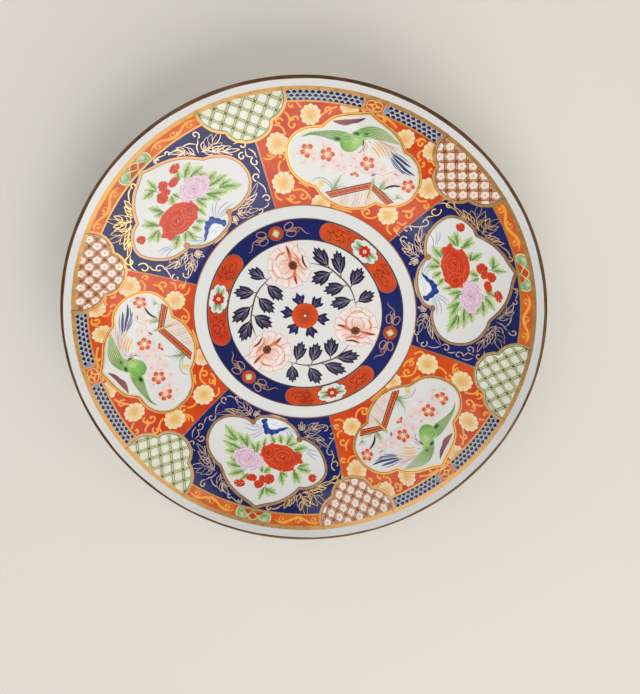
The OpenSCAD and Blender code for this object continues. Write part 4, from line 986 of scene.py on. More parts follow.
# red plum blossoms
for x, y in ((-24.6, 89.6), (-14.0, 90.6), (7.6, 92.2), (31.8, 87.0)):
    fill(BW, scallop((x, y), 5.0, 4.7, 5, 0.14, 30, 6), radial((x, y), 5.0, lin((240, 190, 170)), lin((232, 224, 220)), 1.2), 0.06, R_AT, clip=[grow(BIRD_C, -1.0)], step=1.3)
PB = "plum_blossoms"
for x, y, r_, dg, np_ in ((-24.6, 89.6, 3.9, 20, 5), (-14.0, 90.6, 3.9, 0, 5), (7.6, 92.2, 3.9, 30, 5), (31.8, 87.0, 3.6, 10, 5), (3.2, 83.6, 2.5, 0, 3)):
    for i in range(np_ + (0 if np_ == 5 else 0)):
        if x < -24 and i == 1:
            continue
        a = math.radians(dg + 72 * i) if np_ == 5 else math.radians(-70 + 62 * i)
        c_ = (x + r_ * 0.66 * math.sin(a), y + r_ * 0.66 * math.cos(a))
        fill(PB, scallop(c_, r_ * 0.36, r_ * 0.36, 4, 0.14, 40 * i, 4), radial((x, y), r_, lin((232, 132, 84)), lin((198, 62, 24)), 1.3), 0.08 + 0.003 * i, R_AT, step=1.0)
        line(PB, [(c_[0] * 0.6 + x * 0.4, c_[1] * 0.6 + y * 0.4), c_], 0.3, lin((246, 190, 140)), 0.10 + 0.003 * i, R_AT, "end", smooth=1)
    dot(PB, (x, y), r_ * 0.24, lin((248, 216, 180)), 0.125, R_AT)
    for i in range(8):
        a = i * math.pi / 4
        line(PB, [(x + 0.25 * r_ * math.cos(a), y + 0.25 * r_ * math.sin(a)), (x + 0.42 * r_ * math.cos(a), y + 0.42 * r_ * math.sin(a))], 0.16, lin((246, 200, 150)), 0.13, R_AT, "round", smooth=1)
# leaf touches and small birds
for P_, w_, c_ in (([(13.6, 88.4), (12.2, 87.0), (11.4, 86.4)], 0.9, (84, 88, 92)), ([(-5.2, 90.2), (-4.2, 89.4)], 0.6, (110, 104, 112)), ([(12.6, 95.0), (13.6, 94.2)], 0.6, (90, 84, 90)), ([(22.2, 91.2), (24.6, 90.8)], 0.6, (100, 96, 104)),
                   ([(-2.6, 94.4), (-1.4, 94.0)], 0.5, (120, 116, 120)), ([(-20.6, 87.0), (-19.6, 86.2)], 0.6, (190, 100, 80)), ([(16.6, 93.4), (17.6, 92.8)], 0.5, (140, 130, 130))):
    line(LW, P_, w_, lin(c_), 0.08, R_AT, "both")
line(LW, [(20.2, 81.2), (22.4, 83.6), (25.2, 85.0), (28.6, 85.6)], 1.15, lin((22, 20, 24)), 0.12, R_AT, "both")
# grasses
GS = "garden_grasses"
G1, G2 = lin((132, 150, 108)), lin((160, 172, 130))
for bx, by, tips in ((-5.2, 72.4, ((-15.4, 77.0), (-13.0, 78.4), (-10.6, 77.8), (-8.0, 79.6), (-6.2, 81.0), (-4.0, 82.2), (-3.0, 79.6), (-1.8, 84.4), (-0.6, 78.4), (1.0, 77.0))),
                     (18.6, 80.6, ((16.0, 84.4), (17.6, 86.4), (19.2, 86.8), (20.8, 85.6), (22.0, 83.6), (24.6, 79.6), (27.0, 78.6))),
                     (13.6, 81.2, ((12.0, 85.6), (13.4, 86.8), (14.8, 85.8), (15.6, 84.0))), (28.6, 79.0, ((26.6, 81.0), (29.0, 82.0), (31.4, 81.0), (32.8, 79.6), (25.8, 77.8)))):
    for i, (x, y) in enumerate(tips):
        mx_, my_ = bx + (x - bx) * 0.35, by + (y - by) * 0.68
        line(GS, [(bx + 0.1 * i - 0.4, by), (mx_, my_), (x, y)], 0.5, G1 if i % 2 else G2, 0.07 + 0.002 * i, R_AT, "end")
fill(GS, run([(17.4, 81.0), (18.2, 84.6), (19.0, 86.2), (20.4, 84.6), (20.4, 81.6), (19.0, 80.2)], 3, True), lin((188, 200, 150)), 0.05, R_AT, step=1.4)
fill(GS, scallop((-12.6, 74.6), 1.9, 1.7, 6, 0.25, 0, 5), radial((-12.6, 74.6), 1.9, lin((226, 190, 70)), lin((236, 222, 140))), 0.08, R_AT, step=1.4)
line(GS, [(-12.4, 73.0), (-13.2, 71.8), (-13.0, 71.0)], 0.35, G1, 0.07, R_AT, "both")
line(GS, [(-17.6, 74.2), (-16.4, 76.6), (-13.6, 77.8), (-10.4, 77.2)], 0.34, G1, 0.06, R_AT, "both")

# the folded fence
FN, FP = "garden_fences", "fence_pattern"
base_h = 0.14
under = A([(-4.2, 69.0), (13.2, 78.6), (22.0, 75.2), (18.0, 73.4), (13.6, 69.6), (8, 67.4), (2, 66.4), (-2.6, 66.9)])
fill("blossom_washes", [under], blend2(lin((236, 224, 212)), lin((226, 206, 196)), lambda p: 0.5 + 0.5 * np.sin(p[:, 0])), 0.05, R_AT, clip=[grow(BIRD_C, -1.2)], step=1.8)
for i in range(13):
    x = -1.2 + i * 1.62
    line(FP, [(x, 67.2), (x + 0.1, 72), (x, 79)], 0.2, lin((176, 160, 170)) if i % 2 else lin((206, 186, 176)), 0.08, R_AT, "round", clip=under, notin=[])
arm1 = A([(-9.2, 70.8), (12.9, 83.1), (13.4, 79.9), (-5.6, 68.9)])
arm2 = A([(12.9, 83.1), (27.6, 76.2), (24.6, 73.9), (13.4, 79.9)])
fill(FN, arm1, blend2(lin((196, 48, 20)), lin((160, 34, 18)), lambda p: 0.5 + 0.5 * np.sin(p[:, 0] * 1.4 + p[:, 1])), base_h, R_AT, step=1.6)
fill(FN, arm2, blend2(lin((184, 44, 20)), lin((150, 30, 16)), lambda p: 0.5 + 0.5 * np.sin(p[:, 0] * 1.4 + p[:, 1])), base_h, R_AT, step=1.6)
for a_, b_, c_, d_, n_ in ((arm1[0], arm1[1], arm1[2], arm1[3], 11), (arm2[0], arm2[1], arm2[2], arm2[3], 8)):
    line(FP, [a_, b_], 0.42, lin((110, 34, 26)), base_h + 0.03, R_AT, smooth=1)
    line(FP, [d_, c_], 0.42, lin((110, 34, 26)), base_h + 0.03, R_AT, smooth=1)
    line(FP, [a_ * 0.82 + d_ * 0.18, b_ * 0.82 + c_ * 0.18], 0.26, lin((240, 170, 90)), base_h + 0.035, R_AT, smooth=1)
    line(FP, [a_ * 0.18 + d_ * 0.82, b_ * 0.18 + c_ * 0.82], 0.26, lin((240, 170, 90)), base_h + 0.035, R_AT, smooth=1)
    for i in range(n_):
        u0_, u1_ = (i + 0.1) / n_, (i + 0.9) / n_
        T0, T1 = a_ + (b_ - a_) * u0_, a_ + (b_ - a_) * u1_
        U0, U1 = d_ + (c_ - d_) * u0_, d_ + (c_ - d_) * u1_
        line(FP, [T0 * 0.7 + U0 * 0.3, T1 * 0.3 + U1 * 0.7], 0.24, lin((226, 120, 60)), base_h + 0.04, R_AT, smooth=1)
        line(FP, [T0 * 0.3 + U0 * 0.7, T1 * 0.7 + U1 * 0.3], 0.24, lin((226, 120, 60)), base_h + 0.042, R_AT, smooth=1)
line(FP, [(13.2, 84.6), (13.5, 80), (13.6, 74.4)], 1.1, lin((214, 186, 110)), base_h + 0.06, R_AT)
line(FP, [(12.9, 84.4), (13.2, 80), (13.3, 74.6)], 0.22, lin((150, 110, 56)), base_h + 0.08, R_AT)
for y in (74.8, 76.8, 79.0, 81.2, 83.4):
    line(FP, [(12.9, y), (14.1, y)], 0.25, lin((170, 130, 70)), base_h + 0.08, R_AT, smooth=1)

# ================================================================== inner ring
RI, RO = 44.3, 56.0
RM, RHF = (RI + RO) / 2, (RO - RI) / 2
ring_film("ring_edge_lines", RI - 0.32, RI + 0.32, lin((74, 52, 50)), 0.10)
ring_film("ring_edge_lines", RO - 0.32, RO + 0.32, lin((84, 60, 58)), 0.10)
F_AT = PH + 34.8


def bar(a, inset):
    hf = RHF - inset
    t = np.linspace(-a, a, 21)
    u = np.linspace(0, math.pi, 11)[1:-1]
    c1, c2 = pol(RM, a)[0], pol(RM, -a)[0]
    A1, A2 = math.radians(90 - a), math.radians(90 + a)
    e1 = np.stack([c1[0] + hf * np.cos(A1 - u), c1[1] + hf * np.sin(A1 - u)], 1)
    e2 = np.stack([c2[0] + hf * np.cos(A2 + math.pi - u), c2[1] + hf * np.sin(A2 + math.pi - u)], 1)
    return np.concatenate([pol(RM + hf, t), e1, pol(RM - hf, t[::-1]), e2])


RB = bar(26.0, 0.55)
fill("ring_cobalt_band", [wedge(-60, 60, RI + 0.2, RO - 0.2, 90)], COBALT, H0, F_AT, exc=[RB])
t = np.linspace(0, 2 * math.pi, 96, endpoint=False)
kk = 1 - 0.15 * (1 - np.abs(np.sin(4 * t)) ** 0.55)
RES = np.stack([9.1 * kk * np.sin(t), RM + 5.75 * kk * np.cos(t)], 1)
fill("ring_red_segments", [RB], blend2(lin((206, 62, 20)), lin((190, 50, 18)), lambda p: 0.5 + 0.5 * np.sin(p[:, 0] * 0.5)), H0, F_AT, exc=[RES])
line("ring_gilding", RB, 0.42, lin((150, 104, 84)), 0.09, F_AT, closed=True, smooth=1)
line("ring_edge_lines", RES, 0.34, lin((92, 60, 40)), 0.09, F_AT, closed=True, smooth=1)
line("ring_edge_lines", np.stack([pol(RI + 1.0, x)[0] for x in np.linspace(-9.5, 9.5, 12)]), 0.25, lin((92, 60, 40)), 0.08, F_AT, smooth=1, notin=[RES])
g = random.Random(5)
for s in (-1, 1):
    for P_ in (((11.6, 0.6), (14.4, -1.2), (17.2, 0.8), (20.2, -0.8), (23.0, 0.9), (26.4, -0.4)), ((14.8, -2.6), (17.6, -2.2), (20.4, -3.2), (23.4, -2.0)), ((13.0, 3.0), (16.4, 2.6), (19.6, 3.4), (22.8, 2.6))):
        line("ring_flowers", np.stack([pol(RM + o_, s * x_)[0] for x_, o_ in P_]), 0.3, lin((112, 26, 12)), 0.072, F_AT, "both")
    for a0, r0_ in ((13.2, RM + 1.6), (16.0, RM - 1.8), (18.8, RM + 1.9), (21.4, RM - 1.2), (24.2, RM + 1.2), (26.6, RM - 0.4), (15.2, RM + 3.4), (21.0, RM + 3.2), (18.0, RM - 3.6), (24.4, RM - 3.0)):
        c = pol(r0_, s * a0)[0]
        d_ = g.uniform(0, 360)
        q = np.radians(d_ + np.linspace(0, 250, 8))
        rr = np.linspace(1.35, 0.4, 8)
        line("ring_flowers", np.stack([c[0] + rr * np.cos(q), c[1] + rr * np.sin(q)], 1), 0.38, lin((100, 22, 12)), 0.075, F_AT, "both", smooth=2)
        if a0 in (16.0, 21.4, 24.2):
            dot("ring_gilding", c, 0.42, lin((150, 110, 60)), 0.09, F_AT, n=7)
# the reserve flower and its leaves
RL = "ring_flower_leaves"
for s in (-1, 1):
    soft_leaf(RL, (s * 2.0, RM + 0.2), (s * 7.8, RM + 1.4), 3.0, 0.05, F_AT, 0.0, 1, dark=lin((80, 130, 92)), light=lin((196, 214, 180)), mid=lin((128, 178, 128)))
    soft_leaf(RL, (s * 1.8, RM - 0.6), (s * 7.0, RM - 2.2), 2.6, 0.05, F_AT, 0.0, 1, dark=lin((80, 130, 92)), light=lin((196, 214, 180)), mid=lin((150, 190, 140)))
fill("ring_flowers", scallop((0, RM), 3.7, 3.45, 8, 0.24, 0, 6, 0.08, 21), radial((0, RM), 3.7, lin((176, 26, 12)), lin((206, 54, 30)), 1.2), 0.10, F_AT, step=1.0)
for i in range(8):
    a = math.radians(45 * i)
    v = np.array([math.sin(a), math.cos(a)])
    line("ring_flowers", [A((0, RM))[0] + v * 1.3, A((0, RM))[0] + v * 2.7], 0.2, lin((146, 18, 10)), 0.12, F_AT, "both", smooth=1)
fill("ring_flowers", scallop((0, RM), 1.15, 1.1, 6, 0.2, 0, 4), lin((244, 220, 186)), 0.13, F_AT, step=2)
dot("ring_flowers", (0, RM), 0.4, lin((196, 96, 50)), 0.155, F_AT, n=7)


# knots on the cobalt
K_AT = F_AT + 60
KN = "ring_knots"
GK = lin((184, 138, 114))
fill(KN, oval((0, RM), 4.3, 4.15, 0, 30), lin((150, 84, 56)), 0.08, K_AT)
fill(KN, oval((0, RM), 3.75, 3.6, 0, 30), radial((0, RM), 3.9, lin((206, 84, 40)), lin((176, 62, 30))), 0.11, K_AT, step=1.6)
fill(KN, [A([(0, RM + 2.1), (1.9, RM), (0, RM - 2.1), (-1.9, RM)])], radial((0, RM), 2.1, lin((232, 238, 214)), lin((158, 190, 150))), 0.14, K_AT, step=1.2)
line("ring_gilding", A([(0, RM + 2.4), (2.2, RM), (0, RM - 2.4), (-2.2, RM)]), 0.4, lin((214, 160, 90)), 0.16, K_AT, closed=True, smooth=1)
for s in (-1, 1):
    for dy, rx_, ry_, x_ in ((2.2, 2.7, 1.7, 8.0), (-2.2, 2.7, 1.7, 8.0)):
        line("ring_gilding", turn(oval((0, 0), rx_, ry_, 0, 20), s * (16 if dy > 0 else -16)) + A([(s * x_, RM - 0.35 + dy)]), 0.5, GK, 0.10, K_AT, closed=True, smooth=1)
    line("ring_gilding", oval((s * 9.6, RM - 0.7), 2.2, 0.95, 0, 18), 0.45, GK, 0.11, K_AT, closed=True, smooth=1)
    line("ring_gilding", [(s * 4.2, RM + 0.2), (s * 6.6, RM - 0.3), (s * 10.6, RM - 1.0)], 0.5, GK, 0.105, K_AT, "both")
    a_ = [pol(RM + o_, s * x_)[0] for x_, o_ in ((10.8, 0.2), (13.6, 1.0), (16.0, 0.6), (18.2, -1.4), (20.2, -2.4), (22.0, -1.8))]
    line("ring_gilding", a_, 0.52, GK, 0.10, K_AT, "both")
    a_ = [pol(RM + o_, s * x_)[0] for x_, o_ in ((11.0, -0.4), (13.0, -1.4), (14.6, -1.0), (15.4, 0.2))]
    line("ring_gilding", a_, 0.4, GK, 0.10, K_AT, "both")

# ================================================================== centre
AT0 = 90.0
CP, CL = "centre_peonies", "centre_peony_linework"
PALE, BLUSH, COR = lin((247, 226, 214)), lin((244, 198, 176)), lin((232, 138, 98))
cc_ = np.array([29.3, -6.8])
g = random.Random(8)
fill(CP, scallop(cc_, 11.6, 11.4, 9, 0.05, 0, 5), radial(cc_, 12.6, lin((238, 176, 146)), lin((240, 231, 227)), 0.45), 0.04, AT0, step=1.5)
for k_, (a, r1, hw) in enumerate([(-38, 12.6, 23), (0, 12.4, 21), (36, 12.6, 22), (72, 12.8, 22), (112, 14.2, 24), (152, 12.4, 24), (-165, 12.0, 22), (-122, 12.8, 24), (-80, 12.8, 23)]):
    P_ = petal(cc_, a, r1, hw, 1, 1, 0.15, 0.07, 0.03)
    fill(CP, P_, radial(cc_, r1, lin((238, 170, 140)), lin((240, 232, 229)), 0.42), 0.05 + 0.004 * k_, AT0, step=1.5)
    line(CL, P_, 0.28, lin((226, 158, 136)), 0.058 + 0.004 * k_, AT0, closed=True, smooth=1)
    for s in (-0.55, -0.2, 0.2, 0.55):
        b_ = math.radians(a + s * hw)
        v = np.array([math.sin(b_), math.cos(b_)])
        line(CL, [cc_ + v * r1 * 0.45, cc_ + v * r1 * (0.74 + 0.1 * g.random())], 0.22, lin((236, 176, 152)), 0.06 + 0.004 * k_, AT0, "end", smooth=1)
# the bowl of the flower: back, then two petals that close over it
for k_, (c_, rx_, ry_, n_, dg) in enumerate((((30.2, -3.4), 7.0, 5.6, 7, 8), ((26.9, -4.6), 3.5, 4.6, 4, 30), ((33.8, -4.6), 3.4, 4.5, 4, 60), ((30.3, -5.0), 3.3, 4.5, 4, 12))):
    P_ = scallop(c_, rx_, ry_, n_, 0.10, dg, 6)
    fill(CP, P_, radial((29.6, -9.4), 9.6, lin((232, 134, 92)), lin((243, 234, 230)), 0.6), 0.10 + 0.012 * k_, AT0, step=1.0)
    line(CL, P_, 0.34, lin((226, 140, 104)) if k_ else lin((222, 128, 88)), 0.108 + 0.012 * k_, AT0, closed=True, smooth=1)
for P_ in ([(27.0, -7.6), (26.4, -4.6), (27.4, -1.6)], [(30.0, -6.8), (30.2, -4.0), (30.0, -1.6)], [(33.4, -7.6), (34.2, -4.8), (33.4, -2.0)], [(28.4, -7.0), (28.3, -5.4), (28.6, -3.4)], [(31.9, -7.0), (32.2, -5.2), (31.9, -3.4)]):
    line(CL, P_, 0.24, lin((232, 160, 130)), 0.155, AT0, "both")
# coral shading strokes round the bowl
for P_, w_, c_ in (([(18.2, -5.4), (21.6, -6.2), (24.6, -7.6), (27.0, -9.6)], 1.9, (222, 112, 66)), ([(40.8, -11.4), (36.8, -10.8), (33.4, -9.8), (31.2, -8.8)], 1.9, (222, 112, 66)), ([(18.4, -5.5), (21.0, -6.0), (23.2, -6.8)], 0.8, (96, 48, 34)), ([(40.4, -11.4), (37.6, -11.0), (35.0, -10.3)], 0.8, (96, 48, 34)), ([(23.6, -15.2), (27.6, -15.0), (31.8, -16.6)], 1.1, (84, 46, 36)), ([(22.6, -13.6), (27.2, -12.6), (31.6, -13.4), (35.6, -12.6)], 1.2, (232, 146, 108)),
                   ([(36.2, -2.4), (38.0, -5.6), (37.4, -9.4)], 1.0, (228, 130, 88)), ([(24.2, -1.6), (23.6, -5.0), (25.0, -8.6)], 1.0, (228, 130, 88)), ([(26.0, 1.6), (30.4, 3.0), (34.8, 1.2)], 0.6, (236, 160, 126)),
                   ([(26.4, -11.6), (29.8, -12.6), (33.4, -11.4)], 0.9, (222, 124, 84)), ([(31.8, -16.8), (36.0, -16.2), (39.6, -18.2)], 0.5, (228, 160, 134)), ([(20.6, -12.4), (23.2, -11.4), (25.4, -11.8)], 0.6, (232, 154, 120))):
    line(CL, P_, w_, lin(c_), 0.165, AT0, "both")
fill(CL, scallop((29.0, -9.0), 2.9, 2.6, 9, 0.18, 0, 4), radial((29.0, -9.0), 2.8, lin((70, 34, 22)), lin((124, 66, 38))), 0.18, AT0, step=1.2)
for i in range(14):
    a = i / 14 * 2 * math.pi
    line(CL, [(29.0 + 1.2 * math.cos(a), -9.0 + 1.1 * math.sin(a)), (29.0 + 2.7 * math.cos(a), -9.0 + 2.4 * math.sin(a))], 0.2, lin((60, 28, 18)) if i % 2 else lin((190, 120, 60)), 0.2, AT0, "round", smooth=1)

STM = [(-10.5, -27.9), (-5, -29.5), (0, -30.3), (5, -30), (12, -28), (17, -26), (21.5, -22.4), (25.6, -17.6)]
SC = lin((84, 68, 44))
line("centre_stems", STM, 0.85, SC, 0.09, AT0, "both")
LV = [((-5.6, -29.3), (-1.6, -15.2), 6.6), ((3.6, -29.9), (7.4, -16.0), 6.8), ((14.6, -27.0), (15.4, -12.8), 7.4), ((-7.8, -28.9), (-7.6, -41.4), 6.4), ((1.4, -30.2), (8.6, -42.2), 7.0),
      ((9.0, -29.0), (24.6, -34.6), 6.8), ((16.6, -26.2), (32.2, -24.2), 7.0)]


def toothed(p, q, w):
    p, q = np.asarray(p, float), np.asarray(q, float)
    d = q - p
    m = np.array([-d[1], d[0]]) / np.hypot(*d) * w
    half = [(0.02, 0.03), (0.12, 0.20), (0.26, 0.42), (0.42, 0.53), (0.56, 0.56), (0.70, 0.60), (0.665, 0.36), (0.76, 0.34), (0.88, 0.32), (0.83, 0.15), (0.92, 0.07)]
    up = [p + d * u + m * v for u, v in half]
    dn = [p + d * u - m * v for u, v in half]
    return np.array(up + [q] + dn[::-1])


def navy_leaf(name, vname, p, q, w, h, at, rep=3):
    p, q = np.asarray(p, float), np.asarray(q, float)
    d = q - p
    m = np.array([-d[1], d[0]]) / np.hypot(*d) * w
    p1 = p + d * 0.12
    fill(name, toothed(p1, q, w), blend2(lin((26, 22, 38)), lin((40, 32, 56)), lambda x: 0.5 + 0.5 * np.sin(((x - p) @ m) / w * 1.9)), h, at, rep=rep, step=1.8)
    VB = lin((150, 138, 150))
    BL = lin((52, 56, 100))
    line(vname, [p1 + d * 0.22, p1 + d * 0.5, p1 + d * 0.8], 1.5, BL, h + 0.018, at, "both", rep=rep, smooth=2)
    for s in (-1, 1):
        line(vname, [p1 + d * 0.16 + m * s * 0.10, p1 + d * 0.34 + m * s * 0.30, p1 + d * 0.52 + m * s * 0.42], 1.0, BL, h + 0.016, at, "both", rep=rep, smooth=2)
    line(vname, [p1 + d * 0.02, p1 + d * 0.4, p1 + d * 0.78], 0.3, VB, h + 0.03, at, "end", rep=rep, smooth=2)
    for s in (-1, 1):
        line(vname, [p1 + d * 0.10, p1 + d * 0.34 + m * s * 0.22, p1 + d * 0.56 + m * s * 0.40], 0.28, VB, h + 0.031, at, "end", rep=rep, smooth=2)
        line(vname, [p1 + d * 0.34, p1 + d * 0.54 + m * s * 0.13, p1 + d * 0.72 + m * s * 0.22], 0.24, VB, h + 0.032, at, "end", rep=rep, smooth=2)
    line("centre_stems", [p, p1 + d * 0.06], 0.6, SC, h + 0.02, at, "round", rep=rep, smooth=1)


for p, q, w_ in LV:
    navy_leaf("centre_leaf_sprays", "centre_leaf_veins", p, q, w_, 0.05, AT0)

# rosette
fill("centre_rosette", scallop((0, 0), 7.7, 7.7, 24, 0.03, 0, 4), blend2(lin((196, 60, 18)), lin((214, 82, 24)), lambda p: np.hypot(p[:, 0], p[:, 1]) / 7.6), 0.08, AT0, rep=1, step=1.6)
for i in range(24):
    a = 2 * math.pi * i / 24
    line("centre_leaf_veins", [(2.2 * math.cos(a), 2.2 * math.sin(a)), (6.9 * math.cos(a), 6.9 * math.sin(a))], 0.2, lin((170, 50, 18)), 0.11, AT0, "end", rep=1, smooth=1)
fill("centre_rosette", oval((0, 0), 1.5, 1.5, 0, 16), lin((120, 60, 34)), 0.13, AT0, rep=1, step=3)
fill("centre_rosette", oval((0, 0), 0.75, 0.75, 0, 12), lin((240, 232, 214)), 0.16, AT0, rep=1, step=3)
for k in range(6):
    a = 49.5 + 60 * k
    P_ = [(-1.4, 7.0), (-2.6, 9.2), (-3.6, 10.6), (-3.4, 12.6), (-1.9, 11.6), (-0.9, 13.0), (0.0, 14.8), (0.9, 13.0), (1.9, 11.6), (3.4, 12.6), (3.6, 10.6), (2.6, 9.2), (1.4, 7.0)]
    fill("rosette_leaves", A(P_), blend2(NAVY, lin((34, 40, 96)), lambda p: (p[:, 1] - 7) / 9), 0.06, a, rep=1, step=1.6)
    line("centre_leaf_veins", [(0, 7.8), (0, 10.4), (0, 12.8)], 0.24, lin((104, 108, 156)), 0.09, a, "end", rep=1)
    for s in (-1, 1):
        line("centre_leaf_veins", [(0, 8.2), (s * 1.2, 9.8), (s * 2.4, 11.2)], 0.22, lin((104, 108, 156)), 0.09, a, "end", rep=1)

# ================================================================== materials
def mat(name, rough=0.1, metallic=0.0, noise=0.10, scale=260.0, bump=0.0, spec=0.4, coat=0.0, cloud=None, sss=0.0, grain=0.0):
    m = bpy.data.materials.new(name)
    m.use_nodes = True
    nt = m.node_tree
    N, L = nt.nodes, nt.links
    b = N["Principled BSDF"]
    b.inputs["Metallic"].default_value = metallic
    b.inputs["Roughness"].default_value = rough
    b.inputs["IOR"].default_value = 1.5
    b.inputs["Specular IOR Level"].default_value = spec
    b.inputs["Coat Weight"].default_value = coat
    b.inputs["Coat Roughness"].default_value = 0.05
    tc = N.new("ShaderNodeTexCoord")
    at = N.new("ShaderNodeAttribute")
    at.attribute_name = "paint"
    n1 = N.new("ShaderNodeTexNoise")
    n1.inputs["Scale"].default_value = scale
    n1.inputs["Detail"].default_value = 5
    n1.inputs["Roughness"].default_value = 0.6
    L.new(tc.outputs["Object"], n1.inputs["Vector"])
    r1 = N.new("ShaderNodeMapRange")
    r1.inputs["From Min"].default_value = 0.3
    r1.inputs["From Max"].default_value = 0.7
    r1.inputs["To Min"].default_value = 1 - noise
    r1.inputs["To Max"].default_value = 1 + noise
    L.new(n1.outputs["Fac"], r1.inputs["Value"])
    mul = N.new("ShaderNodeVectorMath")
    mul.operation = "SCALE"
    L.new(at.outputs["Color"], mul.inputs[0])
    L.new(r1.outputs["Result"], mul.inputs["Scale"])
    out = mul.outputs["Vector"]
    if cloud:
        col, sc, amt = cloud
        n2 = N.new("ShaderNodeTexNoise")
        n2.inputs["Scale"].default_value = sc
        n2.inputs["Detail"].default_value = 3
        L.new(tc.outputs["Object"], n2.inputs["Vector"])
        r2 = N.new("ShaderNodeMapRange")
        r2.inputs["From Min"].default_value = 0.46
        r2.inputs["From Max"].default_value = 0.66
        r2.inputs["To Max"].default_value = amt
        L.new(n2.outputs["Fac"], r2.inputs["Value"])
        mx = N.new("ShaderNodeMix")
        mx.data_type = "RGBA"
        mx.inputs["B"].default_value = (*col, 1)
        L.new(r2.outputs["Result"], mx.inputs["Factor"])
        L.new(out, mx.inputs["A"])
        out = mx.outputs["Result"]
    L.new(out, b.inputs["Base Color"])
    if metallic > 0.3 or grain:
        r3 = N.new("ShaderNodeMapRange")
        r3.inputs["From Min"].default_value = 0.3
        r3.inputs["From Max"].default_value = 0.7
        r3.inputs["To Min"].default_value = rough * 0.75
        r3.inputs["To Max"].default_value = min(1, rough * 1.35)
        L.new(n1.outputs["Fac"], r3.inputs["Value"])
        L.new(r3.outputs["Result"], b.inputs["Roughness"])
    if bump:
        bp = N.new("ShaderNodeBump")
        bp.inputs["Strength"].default_value = 0.35
        bp.inputs["Distance"].default_value = bump * MM
        n4 = N.new("ShaderNodeTexNoise")
        n4.inputs["Scale"].default_value = 90.0
        n4.inputs["Detail"].default_value = 2
        L.new(tc.outputs["Object"], n4.inputs["Vector"])
        L.new(n4.outputs["Fac"], bp.inputs["Height"])
        L.new(bp.outputs["Normal"], b.inputs["Normal"])
    return m


def paint_attr(me, cols):
    a = me.color_attributes.new("paint", "FLOAT_COLOR", "POINT")
    c = np.ones((len(me.vertices), 4), np.float32)
    c[:, :3] = cols
    a.data.foreach_set("color", c.ravel())


def make(name, v, f, cols, m, smooth=False, weld=False):
    me = bpy.data.meshes.new(name)
    me.from_pydata(np.asarray(v).tolist(), [], f)
    paint_attr(me, cols)
    me.update()
    if smooth:
        me.polygons.foreach_set("use_smooth", [True] * len(me.polygons))
    me.materials.append(m)
    o = bpy.data.objects.new(name, me)
    bpy.context.scene.collection.objects.link(o)
    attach(o, "root")
    return o


M_ENAMEL = mat("enamel_gloss", rough=0.13, noise=0.08, scale=420, bump=0.02)
M_RED = mat("iron_red_gloss", rough=0.15, noise=0.12, scale=160, bump=0.03, cloud=(tuple(lin((222, 96, 24))), 26.0, 0.55))
M_COBALT = mat("cobalt_under_glaze", rough=0.09, noise=0.22, scale=70, cloud=(tuple(lin((24, 40, 112))), 34.0, 0.4))
M_NAVY = mat("navy_under_glaze", rough=0.1, noise=0.22, scale=500)
M_GOLD = mat("fired_gold", rough=0.32, metallic=0.75, noise=0.14, scale=330, bump=0.02)
M_EDGE = mat("worn_edge_gold", rough=0.32, metallic=0.5, noise=0.4, scale=90)

